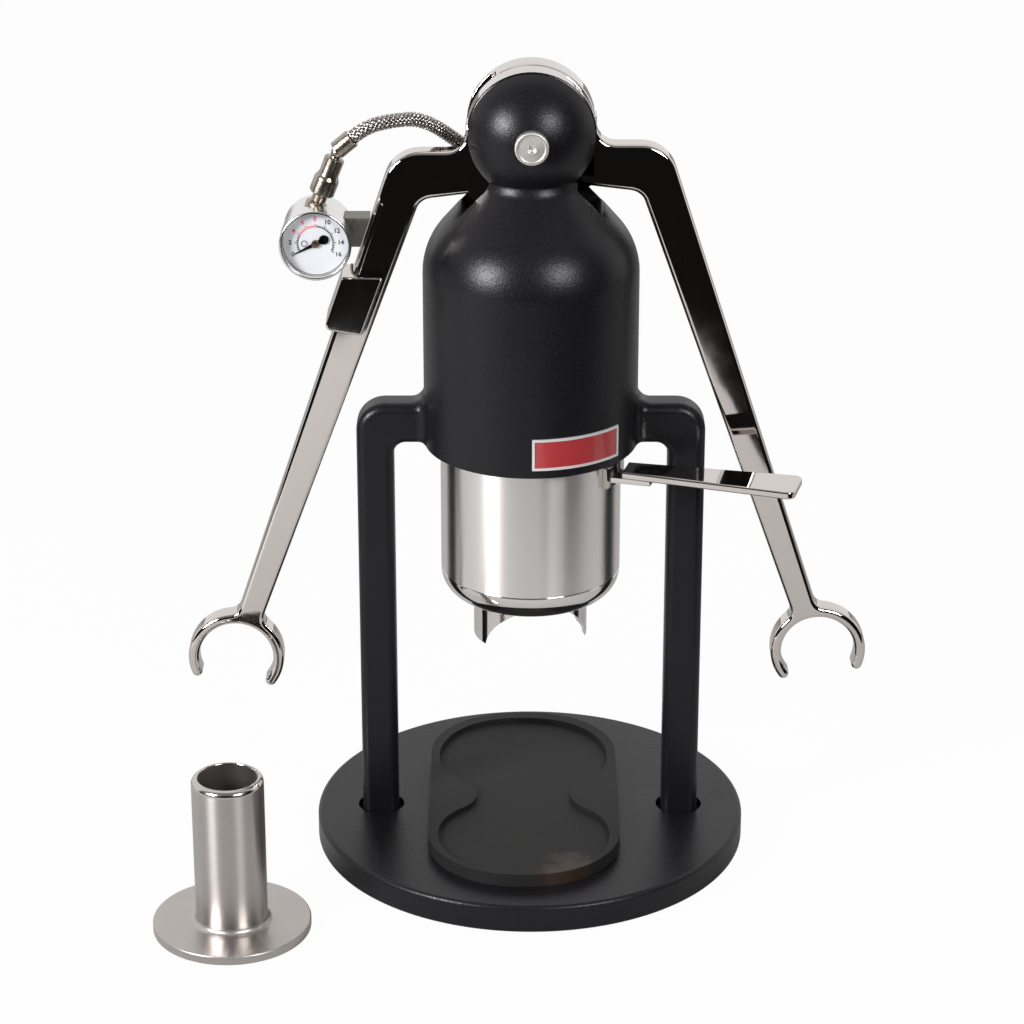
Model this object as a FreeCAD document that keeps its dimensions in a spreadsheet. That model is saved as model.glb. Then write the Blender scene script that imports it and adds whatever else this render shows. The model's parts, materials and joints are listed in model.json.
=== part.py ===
import FreeCAD, Part
import math
import os
import re

import Sketcher

# Manual lever espresso maker, in millimetres.
# +Z is up, +X is to the right hand and the front faces -Y.
# The origin is the middle of the rubber foot pad's underside.
# The left arm runs in the front half of the head slot, the right arm in the rear half.

SIZES = {
    # Base
    "base_radius": 80.0,
    "base_top": 11.0,
    "base_edge": 1.6,
    "pad_drop": 0.5,
    "pad_thick": 1.5,
    "base_wall": 5.3,
    "pad_gap": 0.3,
    # Legs and their bolts
    "leg_stand": 17.7,
    "leg_width": 13.4,
    "leg_edge": 3.4,
    "leg_seat": 3.0,
    "leg_gap": 0.5,
    "leg_rise": 15.5,
    "branch_height": 15.0,
    "leg_elbow": 10.5,
    "leg_crook": 4.5,
    "branch_root": 5.0,
    "bolt_radius": 4.0,
    "bolt_gap": 0.3,
    "bolt_depth": 16.0,
    "bolt_head_radius": 6.3,
    "bolt_head_height": 2.8,
    "bolt_web": 2.2,
    "washer_thick": 1.0,
    "washer_radius": 7.4,
    "thread_gap": 0.05,
    # Body casting
    "pivot_height": 275.5,
    "rim_drop": 116.5,
    "rim_round": 0.4,
    "body_wall": 2.5,
    "shoulder_drop": 52.5,
    "shoulder_round": 27.0,
    "shoulder_slope": 48.9,
    "neck_round": 7.0,
    "head_radius": 22.6,
    "slot_half": 10.2,
    "slot_reach": 38.0,
    "mouth_gap": 0.4,
    "ledge_thick": 5.4,
    "groove_gap": 0.4,
    "ear_reach": 2.9,
    "ear_thick": 3.0,
    "ear_angle": 24.0,
    "ear_gap_angle": 30.0,
    "ear_lift": 0.1,
    "lock_turn": 50.0,
    "groove_height": 3.6,
    "chamber_gap": 1.3,
    "web_drop": 22.6,
    "web_thick": 6.0,
    "shell_wall": 14.5,
    "shell_bore_drop": 41.5,
    "shell_step": 5.0,
    "shell_throat_drop": 25.5,
    # Pivot shaft and its caps
    "shaft_radius": 5.0,
    "shaft_half": 19.4,
    "press_gap": 0.02,
    "run_gap": 0.05,
    "cap_radius": 5.9,
    "cap_height": 3.4,
    "cap_dome": 1.2,
    "cap_seat": 6.2,
    "thrust_radius": 8.0,
    "thrust_thick": 1.0,
    # Arms
    "arm_gap": 0.15,
    "arm_thick": 11.4,
    "arm_edge": 1.3,
    "disc_face": 10.0,
    "root_top": 7.4,
    "root_bottom": 21.1,
    "root_fillet": 6.0,
    "elbow_reach": 47.3,
    "elbow_round": 13.0,
    "crook_reach": 39.3,
    "crook_round": 6.0,
    "foot_outer_in": 1.0,
    "foot_outer_up": 15.2,
    "foot_inner_in": 8.4,
    "foot_inner_up": 12.5,
    "hook_reach": 107.6,
    "hook_drop": 197.4,
    "hook_outer": 17.3,
    "hook_inner": 13.0,
    "hook_inner_tip": 53.0,
    "hook_outer_tip": 21.0,
    "hook_root_round": 3.0,
    "hook_tip_round": 2.0,
    # Crank, links and wrist
    "crank_radius": 24.0,
    "crank_angle": 24.0,
    "crank_pin": 3.0,
    "crank_boss": 7.0,
    "hub_boss": 8.0,
    "link_inner": 0.45,
    "link_thick": 4.0,
    "link_side_gap": 0.45,
    "link_length": 48.0,
    "link_width": 8.0,
    "link_eye": 6.5,
    "slot_travel": 7.0,
    "slot_rise": 1.75,
    "slot_play": 0.8,
    "slot_extra_width": 1.1,
    "slot_wall": 3.5,
    "wrist_pin": 3.0,
    "cheek_thick": 3.6,
    "cheek_round": 6.5,
    "cheek_floor": 11.8,
    "clip_radius": 4.8,
    "clip_thick": 0.6,
    # Piston
    "rod_radius": 8.0,
    "clevis_drop": 15.6,
    "rod_length": 74.6,
    "piston_thick": 12.0,
    "piston_gap": 0.5,
    "seal_bottom": 3.4,
    "seal_height": 5.0,
    "seal_depth": 2.6,
    "seal_gap": 0.05,
    "screw_radius": 3.0,
    "screw_head": 6.5,
    "screw_head_height": 3.2,
    "screw_depth": 12.0,
    "bush_radius": 11.0,
    "bush_flange": 13.5,
    "bush_flange_thick": 1.4,
    "bush_proud": 0.5,
    # Portafilter
    "cup_radius": 32.7,
    "cup_wall": 2.2,
    "cup_depth": 19.0,
    "cup_floor": 2.6,
    "cup_taper": 11.1,
    "cup_turn_height": 21.0,
    "cup_belly": 26.0,
    "line_rise": 25.2,
    "line_depth": 0.35,
    "outlet_radius": 8.0,
    "basket_gap": 0.6,
    "basket_wall": 0.8,
    "basket_flange_over": 0.3,
    "basket_flange_thick": 1.2,
    "basket_depth": 15.2,
    "basket_ledge_width": 3.1,
    "basket_corner": 1.0,
    "filter_thick": 0.6,
    "filter_gap": 0.3,
    "filter_hole": 0.9,
    "filter_pitch": 8.0,
    "screen_thick": 0.8,
    "screen_grip": 7.5,
    "spout_inset": 1.1,
    "spout_wall": 1.2,
    "spout_drop": 16.8,
    "spout_arch_over": 2.3,
    "spout_arch_drop": 10.0,
    "spout_turn": 15.0,
    "spout_boss": 12.0,
    # Portafilter handle
    "handle_drop": 4.0,
    "handle_thick": 2.8,
    "handle_angle": 15.4,
    "handle_root_width": 10.5,
    "handle_end_width": 17.6,
    "handle_stand": 4.5,
    "handle_length": 62.8,
    "handle_side": 7.15,
    "handle_corner": 3.0,
    "handle_edge": 0.7,
    "bracket_height": 8.0,
    "bracket_drop": 2.0,
    "bracket_thick": 2.0,
    "bracket_angle": 11.5,
    "bracket_half_angle": 12.0,
    "tongue_length": 10.0,
    # Mat
    "mat_offset": -2.4,
    "mat_front": 65.0,
    "mat_back": 67.5,
    "mat_width": 71.0,
    "mat_corner": 30.0,
    "mat_thick": 5.0,
    "mat_recess": 2.0,
    "mat_border": 4.5,
    "mat_waist": 17.5,
    "mat_lobe": 6.0,
    "mat_lobe_reach": 22.0,
    "mat_lobe_flank": 31.0,
    "mat_edge": 1.0,
    "mat_gap": 0.05,
    # Gauge
    "gauge_drop": 36.1,
    "gauge_stand": 17.96,
    "case_back": 0.5,
    "case_radius": 12.1,
    "case_depth": 20.7,
    "case_step": 1.6,
    "bezel_radius": 12.6,
    "bezel_lip": 11.2,
    "bezel_depth": 4.6,
    "bezel_front": 22.9,
    "lens_thick": 0.8,
    "dial_radius": 11.2,
    "dial_thick": 0.4,
    "pointer_rest": 206.6,
    "pointer_length": 8.6,
    "pointer_tail": 4.4,
    "pointer_width": 0.9,
    "pointer_hub": 1.5,
    "stem_shift": 0.2,
    "stem_rise": 11.6,
    "stem_y": 11.5,
    "stem_angle": 21.7,
    "stem_foot": 3.9,
    "stem_waist": 2.6,
    "stem_nut": 4.45,
    "stem_nut_low": 4.6,
    "stem_nut_high": 11.0,
    "stem_neck": 3.5,
    "stem_length": 18.5,
    "stem_ball": 2.2,
    "ferrule_shift": 7.75,
    "ferrule_rise": 31.4,
    "ferrule_angle": 50.0,
    "ferrule_radius": 3.3,
    "ferrule_bore": 2.8,
    "ferrule_length": 6.9,
    "hose_lead": 6.0,
    "hose_tail": 17.0,
    "hose_radius": 2.8,
    # Clamp that carries the gauge
    "clamp_drop": 60.5,
    "clamp_length": 20.4,
    "clamp_half": 5.55,
    "clamp_open": 1.2,
    "clamp_wall": 1.8,
    "clamp_gap": 0.1,
    "clamp_round": 1.2,
    "strap_thick": 1.4,
    "strap_width": 8.0,
    "strap_length": 46.0,
    "block_low": 3.1,
    "block_high": 7.4,
    "block_front": 4.5,
    "block_depth": 9.0,
    "clamp_screw": 1.5,
    "clamp_screw_head": 2.8,
    # Hose gland on the rear shoulder
    "gland_reach": 26.5,
    "gland_side": 115.0,
    "gland_radius": 5.0,
    "gland_sink": 2.4,
    "gland_stem": 8.0,
    "sleeve_length": 8.5,
    # Tamper
    "tamper_x": 107.3,
    "tamper_y": 73.6,
    "tamper_flange": 29.0,
    "tamper_flange_thick": 3.5,
    "tamper_stem": 12.9,
    "tamper_bore": 10.5,
    "tamper_height": 60.0,
    "tamper_fillet": 2.2,
    "tamper_edge": 0.6,
}

# Places worked out from the sizes. The whole mechanism hangs from the pivot.
PLACES = {
    "ear_radius": "cup_radius + ear_reach",
    "groove_radius": "ear_radius + groove_gap",
    "body_radius": "groove_radius + body_wall",
    "mouth_radius": "cup_radius + mouth_gap",
    "chamber_radius": "cup_radius + chamber_gap",
    "shell_bore": "body_radius - shell_wall",
    "shell_throat": "shell_bore - shell_step",
    "leg_offset": "body_radius + leg_stand",
    "cup_base_radius": "cup_radius - cup_taper",
    "basket_bore": "cup_radius - cup_wall - basket_gap - basket_wall",
    "basket_flange": "cup_radius + basket_flange_over",
    "basket_ledge": "basket_bore - basket_ledge_width",
    "piston_radius": "basket_bore - piston_gap",
    "spout_radius": "cup_base_radius - spout_inset",
    "spout_arch": "spout_radius + spout_arch_over",
    "handle_start": "cup_radius + handle_stand",
    "handle_end": "handle_start + handle_length",
    "pad_radius": "base_radius - base_wall",
    "rim_height": "pivot_height - rim_drop",
    "leg_top": "rim_height + leg_rise",
    "ledge_top": "rim_height + ledge_thick",
    "cup_top": "ledge_top + groove_height",
    "shoulder_start": "pivot_height - shoulder_drop",
    "slope_x": "body_radius - shoulder_round * (1 - sin(shoulder_slope))",
    "slope_z": "shoulder_start + shoulder_round * cos(shoulder_slope)",
    "gland_height": "slope_z + (slope_x - gland_reach) * tan(shoulder_slope)",
    "shell_bore_top": "pivot_height - shell_bore_drop",
    "shell_throat_top": "pivot_height - shell_throat_drop",
    "crank_out": "crank_radius * sin(crank_angle)",
    "crank_height": "pivot_height - crank_radius * cos(crank_angle)",
    "wrist_height": "crank_height - sqrt(link_length^2 - crank_out^2)",
    "web_bottom": "wrist_height - web_drop",
    "rod_top": "wrist_height - clevis_drop",
    "piston_bottom": "wrist_height - rod_length",
    "basket_floor": "piston_bottom - basket_depth",
    "cup_bottom": "basket_floor - cup_depth",
    "line_height": "cup_bottom + line_rise",
    "spout_tip": "cup_bottom - spout_drop",
    "spout_arch_height": "spout_tip - spout_arch_drop",
    "handle_top": "rim_height - handle_drop",
    "forearm_outer_foot": "hook_reach - foot_outer_in",
    "forearm_outer_drop": "hook_drop - foot_outer_up",
    "forearm_inner_foot": "hook_reach - foot_inner_in",
    "forearm_inner_drop": "hook_drop - foot_inner_up",
    "forearm_run": "(forearm_outer_foot - elbow_reach) / (forearm_outer_drop - root_top)",
    "forearm_angle": "90 - atan(forearm_run) / 1 deg",
    "gauge_z": "pivot_height - gauge_drop",
    "gauge_x": "elbow_reach + (gauge_drop - root_top) * forearm_run + gauge_stand",
    "stem_x": "gauge_x - stem_shift",
    "stem_z": "gauge_z + stem_rise",
    "ferrule_x": "gauge_x - ferrule_shift",
    "ferrule_z": "gauge_z + ferrule_rise",
}

doc = FreeCAD.newDocument("lever_espresso_maker")
sheet = doc.addObject("Spreadsheet::Sheet", "sizes")
for row, (alias, number) in enumerate(SIZES.items(), start=1):
    sheet.set("A%d" % row, alias)
    sheet.set("B%d" % row, str(number))
    sheet.setAlias("B%d" % row, alias)
doc.recompute()

LABELS = []


def bind(text):
    """Give an expression that reads the sheet from one that names sizes and places."""
    def read(found):
        word = found.group(0)
        if word in PLACES:
            return "(" + bind(PLACES[word]) + ")"
        return "sizes." + word if word in SIZES else word

    return re.sub(r"[a-z][a-z_]*", read, str(text))


def size(text):
    """Work out one expression of sheet sizes as a plain number."""
    return float(sheet.evalExpression(bind(text)))


def origin_plane(body, role):
    """Find one of a body's own origin planes."""
    return [plane for plane in body.Origin.OriginFeatures if plane.Role == role][0]


def new_body(label):
    """Start a sub-part."""
    LABELS.append(label)
    body = doc.addObject("PartDesign::Body", label)
    body.Label = label
    return body


def new_sketch(body, role, offset="0"):
    """Attach a sketch to an origin plane, moved along the plane's normal."""
    sketch = body.newObject("Sketcher::SketchObject", "Sketch")
    sketch.AttachmentSupport = (origin_plane(body, role), "")
    sketch.MapMode = "FlatFace"
    sketch.setExpression(".AttachmentOffset.Base.z", bind(offset))
    return sketch


def fix_point(sketch, index, end, x_text, y_text, x_start, y_start):
    """Bind one end of an edge to two expressions."""
    for kind, text, start in (("DistanceX", x_text, x_start), ("DistanceY", y_text, y_start)):
        number = sketch.addConstraint(Sketcher.Constraint(kind, -1, 1, index, end, start))
        sketch.setExpression("Constraints[%d]" % number, bind(text))


def draw_loop(sketch, corners):
    """Draw a closed outline whose corners and arc radii are bound to the sheet.

    A corner is (x, y), or (x, y, radius) where the edge that leaves it is an arc of under
    a half circle: a positive radius bulges to the right of the way round, a negative one
    to the left.
    """
    places = [FreeCAD.Vector(size(c[0]), size(c[1]), 0) for c in corners]
    first = sketch.GeometryCount
    for i, corner in enumerate(corners):
        here, there = places[i], places[(i + 1) % len(corners)]
        if len(corner) == 2:
            sketch.addGeometry(Part.LineSegment(here, there), False)
            continue
        radius = size(corner[2])
        chord = there - here
        right = FreeCAD.Vector(chord.y, -chord.x, 0).normalize()
        sagitta = abs(radius) - (radius * radius - chord.Length ** 2 / 4) ** 0.5
        middle = (here + there) * 0.5 + right * (sagitta if radius > 0 else -sagitta)
        sketch.addGeometry(Part.ArcOfCircle(here, middle, there), False)
    ends = []
    for i, corner in enumerate(corners):
        # An arc drawn clockwise is stored counter-clockwise, with its ends swapped.
        swapped = len(corner) == 3 and size(corner[2]) < 0
        ends.append((2, 1) if swapped else (1, 2))
    for i in range(len(corners)):
        after = (i + 1) % len(corners)
        joint = Sketcher.Constraint("Coincident", first + i, ends[i][1], first + after, ends[after][0])
        sketch.addConstraint(joint)
    for i, corner in enumerate(corners):
        fix_point(sketch, first + i, ends[i][0], corner[0], corner[1], places[i].x, places[i].y)
        if len(corner) == 3:
            radius = abs(size(corner[2]))
            number = sketch.addConstraint(Sketcher.Constraint("Radius", first + i, radius))
            text = corner[2] if size(corner[2]) > 0 else "-(%s)" % corner[2]
            sketch.setExpression("Constraints[%d]" % number, bind(text))


def draw_circle(sketch, x_text, y_text, radius_text):
    """Draw a circle whose centre and radius are bound to the sheet."""
    x, y = size(x_text), size(y_text)
    circle = Part.Circle(FreeCAD.Vector(x, y, 0), FreeCAD.Vector(0, 0, 1), size(radius_text))
    index = sketch.addGeometry(circle, False)
    fix_point(sketch, index, 3, x_text, y_text, x, y)
    number = sketch.addConstraint(Sketcher.Constraint("Radius", index, size(radius_text)))
    sketch.setExpression("Constraints[%d]" % number, bind(radius_text))


def add_pad(body, sketch, length, both_ways=False):
    """Raise a sketch along its plane's normal."""
    pad = body.newObject("PartDesign::Pad", "Pad")
    pad.Profile = sketch
    pad.setExpression("Length", bind(length))
    pad.Midplane = both_ways
    doc.recompute()
    return pad


def add_pocket(body, sketch, length, both_ways=False):
    """Cut a sketch against its plane's normal and see that it took something away."""
    before = body.Shape.Volume
    pocket = body.newObject("PartDesign::Pocket", "Pocket")
    pocket.Profile = sketch
    pocket.setExpression("Length", bind(length))
    pocket.Midplane = both_ways
    doc.recompute()
    if not body.Shape.Volume < before:
        raise RuntimeError("a pocket in %s cut nothing" % body.Label)
    return pocket


def add_turned(body, corners, cut=False):
    """Turn an outline of radius and height about the upright axis."""
    before = body.Shape.Volume if cut else 0.0
    sketch = new_sketch(body, "XZ_Plane")
    draw_loop(sketch, corners)
    kind = "PartDesign::Groove" if cut else "PartDesign::Revolution"
    feature = body.newObject(kind, "Turned")
    feature.Profile = sketch
    feature.ReferenceAxis = (sketch, ["V_Axis"])
    feature.Angle = 360
    doc.recompute()
    if cut and not body.Shape.Volume < before:
        raise RuntimeError("a groove in %s cut nothing" % body.Label)
    return feature


def add_fillet(body, base, edges, radius, kind="PartDesign::Fillet"):
    """Round the named edges of a feature."""
    if not edges:
        raise RuntimeError("no edge to round in %s" % body.Label)
    fillet = body.newObject(kind, "Fillet")
    fillet.Base = (base, edges)
    fillet.setExpression("Radius" if kind.endswith("Fillet") else "Size", bind(radius))
    doc.recompute()
    return fillet


def edges_where(feature, test):
    """List the edges of a feature that a test on their middle and their shape picks."""
    names = []
    for number, edge in enumerate(feature.Shape.Edges, start=1):
        middle = edge.valueAt((edge.FirstParameter + edge.LastParameter) / 2)
        if test(edge, middle):
            names.append("Edge%d" % number)
    return names


def along(edge, axis):
    """Tell whether an edge is straight and runs along an axis."""
    if edge.Curve.TypeId != "Part::GeomLine":
        return False
    return abs(abs(edge.Curve.Direction.dot(axis)) - 1) < 1e-6


def upright_edge(feature, x_text, z_text, reach=0.5):
    """Find the edges along Y that stand at one place of an outline."""
    spot = FreeCAD.Vector(size(x_text), 0, size(z_text))
    depth = FreeCAD.Vector(0, 1, 0)
    return edges_where(
        feature,
        lambda edge, middle: along(edge, depth)
        and FreeCAD.Vector(middle.x - spot.x, 0, middle.z - spot.z).Length < reach,
    )


def place(body, x="0", y="0", z="0", axis=(0, 0, 1), angle="0"):
    """Put a sub-part where it belongs, turned about its own origin."""
    body.Placement = FreeCAD.Placement(
        FreeCAD.Vector(0, 0, 0), FreeCAD.Rotation(FreeCAD.Vector(*axis), size(angle))
    )
    body.setExpression(".Placement.Base.x", bind(x))
    body.setExpression(".Placement.Base.y", bind(y))
    body.setExpression(".Placement.Base.z", bind(z))
    if any(word in str(angle) for word in (*SIZES, *PLACES)):
        body.setExpression(".Placement.Rotation.Angle", bind(angle))
    doc.recompute()


def turned_part(label, corners, **where):
    """Make a sub-part that is only a turned outline."""
    body = new_body(label)
    add_turned(body, corners)
    if where:
        place(body, **where)
    return body


def ring(inner, outer, low, high):
    """Give the outline of a plain ring, or of a disc where the inner radius is 0."""
    return [(inner, low), (outer, low), (outer, high), (inner, high)]


def keep_shape(label, shape):
    """Keep a group of equal solids or a shape that no feature makes as one sub-part."""
    LABELS.append(label)
    feature = doc.addObject("Part::Feature", label)
    feature.Label = label
    feature.Shape = shape
    return feature


def group(label, parts):
    """Join copies of one made piece into a node of separate solids."""
    compound = doc.addObject("Part::Compound", label)
    compound.Label = label
    compound.Links = parts
    LABELS.append(label)
    doc.recompute()
    return compound


def hidden_body(name):
    """Start a piece that only a group shows."""
    return doc.addObject("PartDesign::Body", name)


FLAT_TO_FRONT = dict(axis=(1, 0, 0), angle="90")


# Base: round plate, rubber pad, bolts and washers

def make_base_plate():
    """Turn the plate and sink the leg sockets, bolt holes and pad recess into it."""
    body = new_body("base_plate")
    add_turned(body, [
        ("0", "pad_thick"),
        ("pad_radius + pad_gap", "pad_thick"),
        ("pad_radius + pad_gap", "pad_drop"),
        ("base_radius - base_edge", "pad_drop"),
        ("base_radius", "pad_drop + base_edge"),
        ("base_radius", "base_top - base_edge"),
        ("base_radius - base_edge", "base_top"),
        ("0", "base_top"),
    ])
    levels = [
        ("base_top", "leg_seat", "leg_width / 2 * sqrt(2) - leg_edge * (sqrt(2) - 1) + leg_gap"),
        ("base_top - leg_seat", "bolt_web", "bolt_radius + bolt_gap"),
        ("base_top - leg_seat - bolt_web", "base_top - leg_seat - bolt_web - pad_thick",
         "washer_radius + bolt_gap"),
    ]
    for top, depth, radius in levels:
        sketch = new_sketch(body, "XY_Plane", top)
        draw_circle(sketch, "leg_offset", "0", radius)
        draw_circle(sketch, "-leg_offset", "0", radius)
        add_pocket(body, sketch, depth)
    return body


def make_leg_fasteners():
    """Make the two bolts with socket heads and their washers under the plate."""
    seat = "base_top - leg_seat - bolt_web"
    bolts = []
    washers = []
    for side in ("leg_offset", "-leg_offset"):
        bolt = hidden_body("leg_bolt")
        head = "%s - washer_thick - bolt_head_height" % seat
        add_turned(bolt, [
            ("0", head),
            ("bolt_head_radius", head),
            ("bolt_head_radius", "%s - washer_thick" % seat),
            ("bolt_radius", "%s - washer_thick" % seat),
            ("bolt_radius", "base_top - leg_seat + bolt_depth - 1"),
            ("bolt_radius - 1", "base_top - leg_seat + bolt_depth"),
            ("0", "base_top - leg_seat + bolt_depth"),
        ])
        hexagon = new_sketch(bolt, "XY_Plane", "%s + 1.8" % head)
        draw_hexagon(hexagon, "0", "0", "2.9")
        add_pocket(bolt, hexagon, "1.8")
        place(bolt, x=side)
        bolts.append(bolt)
        washer = hidden_body("leg_washer")
        add_turned(washer, ring("bolt_radius + bolt_gap", "washer_radius",
                                "%s - washer_thick" % seat, seat))
        place(washer, x=side)
        washers.append(washer)
    group("leg_bolts", bolts)
    group("leg_bolt_washers", washers)


def draw_hexagon(sketch, x_text, y_text, radius_text):
    """Draw a hexagon by its corner radius."""
    corners = []
    for step in range(6):
        turn = step * 60
        corners.append((
            "%s + (%s) * cos(%d)" % (x_text, radius_text, turn),
            "%s + (%s) * sin(%d)" % (y_text, radius_text, turn),
        ))
    draw_loop(sketch, corners)


def make_base_pad():
    """Turn the rubber pad that fills the recess and stands proud of it."""
    turned_part("base_pad", [
        ("0", "0"),
        ("pad_radius - 0.4", "0"),
        ("pad_radius", "0.4"),
        ("pad_radius", "pad_thick"),
        ("0", "pad_thick"),
    ])


# Body casting: column, shoulder, forked head, branches and legs in one piece

def column_outline():
    """Give the column's outline: wall, round shoulder, slope, hollow neck and ball."""
    # The slope's distance from the ball's centre places the neck round against both.
    stand = "(slope_x * sin(shoulder_slope) + (slope_z - pivot_height) * cos(shoulder_slope))"
    out = "(%s + neck_round)" % stand
    down = "sqrt((head_radius + neck_round)^2 - %s^2)" % out
    centre_x = "(%s * sin(shoulder_slope) + %s * cos(shoulder_slope))" % (out, down)
    centre_z = "(pivot_height + %s * cos(shoulder_slope) - %s * sin(shoulder_slope))" % (out, down)
    share = "head_radius / (head_radius + neck_round)"
    return [
        ("0", "rim_height"),
        ("body_radius - rim_round", "rim_height", "rim_round"),
        ("body_radius", "rim_height + rim_round"),
        ("body_radius", "shoulder_start", "shoulder_round"),
        ("slope_x", "slope_z"),
        ("%s - neck_round * sin(shoulder_slope)" % centre_x,
         "%s - neck_round * cos(shoulder_slope)" % centre_z, "-neck_round"),
        ("%s * %s" % (centre_x, share), "pivot_height + (%s - pivot_height) * %s" % (centre_z, share),
         "head_radius"),
        ("head_radius", "pivot_height", "head_radius"),
        ("0", "pivot_height + head_radius"),
    ]


def make_frame_casting():
    """Cast the column with its two branches and legs, then machine it."""
    body = new_body("frame_casting")
    # Legs and branches are one bent bar that the column is cast around.
    bar = new_sketch(body, "XZ_Plane")
    inside = "(leg_offset - leg_width / 2)"
    outside = "(leg_offset + leg_width / 2)"
    foot = "base_top - leg_seat"
    under = "leg_top - branch_height"
    draw_loop(bar, [
        (inside, foot),
        (outside, foot),
        (outside, "leg_top - leg_elbow", "leg_elbow"),
        ("%s - leg_elbow" % outside, "leg_top"),
        ("-(%s - leg_elbow)" % outside, "leg_top", "leg_elbow"),
        ("-%s" % outside, "leg_top - leg_elbow"),
        ("-%s" % outside, foot),
        ("-%s" % inside, foot),
        ("-%s" % inside, "%s - leg_crook" % under, "-leg_crook"),
        ("-(%s - leg_crook)" % inside, under),
        ("%s - leg_crook" % inside, under, "-leg_crook"),
        (inside, "%s - leg_crook" % under),
    ])
    pad = add_pad(body, bar, "leg_width", both_ways=True)
    half = size("leg_width") / 2
    add_fillet(body, pad, edges_where(
        pad, lambda edge, middle: abs(abs(middle.y) - half) < 1e-4
        and middle.z > size(foot) + 1e-3), "leg_edge")
    column = add_turned(body, column_outline())
    rim = size("body_radius")
    junction = edges_where(
        column, lambda edge, middle: abs(middle.x ** 2 + middle.y ** 2 - rim ** 2) < 0.5
        and size(under) - 1 < middle.z < size("leg_top") + 1 and abs(middle.y) < half + 0.1)
    add_fillet(body, column, junction, "branch_root")
    # Bores from below: bayonet mouth and groove, piston chamber, guide web, link space
    add_turned(body, [
        ("0", "rim_height - 1"),
        ("mouth_radius", "rim_height - 1"),
        ("mouth_radius", "ledge_top"),
        ("groove_radius", "ledge_top"),
        ("groove_radius", "cup_top"),
        ("chamber_radius", "cup_top"),
        ("chamber_radius", "web_bottom"),
        ("bush_radius + press_gap", "web_bottom"),
        ("bush_radius + press_gap", "web_bottom + web_thick"),
        ("shell_bore", "web_bottom + web_thick"),
        ("shell_bore", "shell_bore_top"),
        ("shell_throat", "shell_throat_top"),
        ("0", "shell_throat_top"),
    ], cut=True)
    # Entry gaps in the bayonet ledge
    gaps = new_sketch(body, "XY_Plane", "ledge_top")
    for ear in range(3):
        middle = "(90 + %d - lock_turn)" % (ear * 120)
        low, high = "(%s - ear_gap_angle / 2)" % middle, "(%s + ear_gap_angle / 2)" % middle
        draw_loop(gaps, [
            ("(mouth_radius - 3) * cos%s" % low, "(mouth_radius - 3) * sin%s" % low),
            ("groove_radius * cos%s" % low, "groove_radius * sin%s" % low, "groove_radius"),
            ("groove_radius * cos%s" % high, "groove_radius * sin%s" % high),
            ("(mouth_radius - 3) * cos%s" % high, "(mouth_radius - 3) * sin%s" % high),
        ])
    add_pocket(body, gaps, "ledge_top - rim_height + 1")
    # Slot across the head and shoulder for the arms
    slot = new_sketch(body, "XZ_Plane", "slot_half")
    draw_circle(slot, "0", "pivot_height", "slot_reach")
    add_pocket(body, slot, "2 * slot_half")
    # Pivot bore with a seat for a cap at each end
    bore = new_sketch(body, "XZ_Plane", "head_radius + 1")
    draw_circle(bore, "0", "pivot_height", "shaft_radius + press_gap")
    add_pocket(body, bore, "2 * (head_radius + 1)")
    front = new_sketch(body, "XZ_Plane", "head_radius + 1")
    draw_circle(front, "0", "pivot_height", "cap_seat")
    add_pocket(body, front, "head_radius + 1 - shaft_half")
    rear = new_sketch(body, "XZ_Plane", "-shaft_half")
    draw_circle(rear, "0", "pivot_height", "cap_seat")
    add_pocket(body, rear, "head_radius + 1 - shaft_half")
    # Seat of the hose gland on the rear shoulder, square to the slope
    spot, axis = gland_frame()
    recess = new_sketch(body, "XY_Plane")
    recess.setExpression(".AttachmentOffset.Base.z", None)
    above = spot + axis * size("gland_radius")
    recess.AttachmentOffset = FreeCAD.Placement(above, FreeCAD.Rotation(FreeCAD.Vector(0, 0, 1), axis))
    draw_circle(recess, "0", "0", "gland_radius + press_gap")
    add_pocket(body, recess, "gland_radius + gland_sink")
    # Threaded holes up into the legs
    holes = new_sketch(body, "XY_Plane", "%s + bolt_depth + 2" % foot)
    draw_circle(holes, "leg_offset", "0", "bolt_radius + thread_gap")
    draw_circle(holes, "-leg_offset", "0", "bolt_radius + thread_gap")
    add_pocket(body, holes, "bolt_depth + 2")
    return body


# Pivot: shaft through both ears, thrust washers and end caps

def make_pivot():
    """Make the shaft, the thrust washers beside the discs and the two domed caps."""
    turned_part("pivot_shaft", [
        ("0", "-shaft_half"),
        ("shaft_radius - 0.6", "-shaft_half"),
        ("shaft_radius", "-shaft_half + 0.6"),
        ("shaft_radius", "shaft_half - 0.6"),
        ("shaft_radius - 0.6", "shaft_half"),
        ("0", "shaft_half"),
    ], z="pivot_height", **FLAT_TO_FRONT)
    washers = []
    for turn in ("90", "-90"):
        washer = hidden_body("thrust_washer")
        add_turned(washer, ring("shaft_radius + run_gap", "thrust_radius",
                                "slot_half - run_gap - thrust_thick", "slot_half - run_gap"))
        place(washer, z="pivot_height", axis=(1, 0, 0), angle=turn)
        washers.append(washer)
    group("thrust_washers", washers)
    for label, turn in (("front_pivot_cap", "90"), ("rear_pivot_cap", "-90")):
        cap = new_body(label)
        rim = "shaft_half + run_gap + cap_height"
        add_turned(cap, [
            ("0", "shaft_half + run_gap"),
            ("cap_radius", "shaft_half + run_gap"),
            ("cap_radius", "%s - 0.5" % rim),
            ("cap_radius - 0.5", rim, "(cap_radius^2 + cap_dome^2) / (2 * cap_dome)"),
            ("1.9", "%s + cap_dome * 0.88" % rim),
            ("1.9", "%s + cap_dome * 1.2" % rim),
            ("1.4", "%s + cap_dome * 1.5" % rim),
            ("0", "%s + cap_dome * 1.5" % rim),
        ])
        place(cap, z="pivot_height", axis=(1, 0, 0), angle=turn)


# Arms: flat levers with a disc at the head, a bent root and an open ring at the hand

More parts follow.
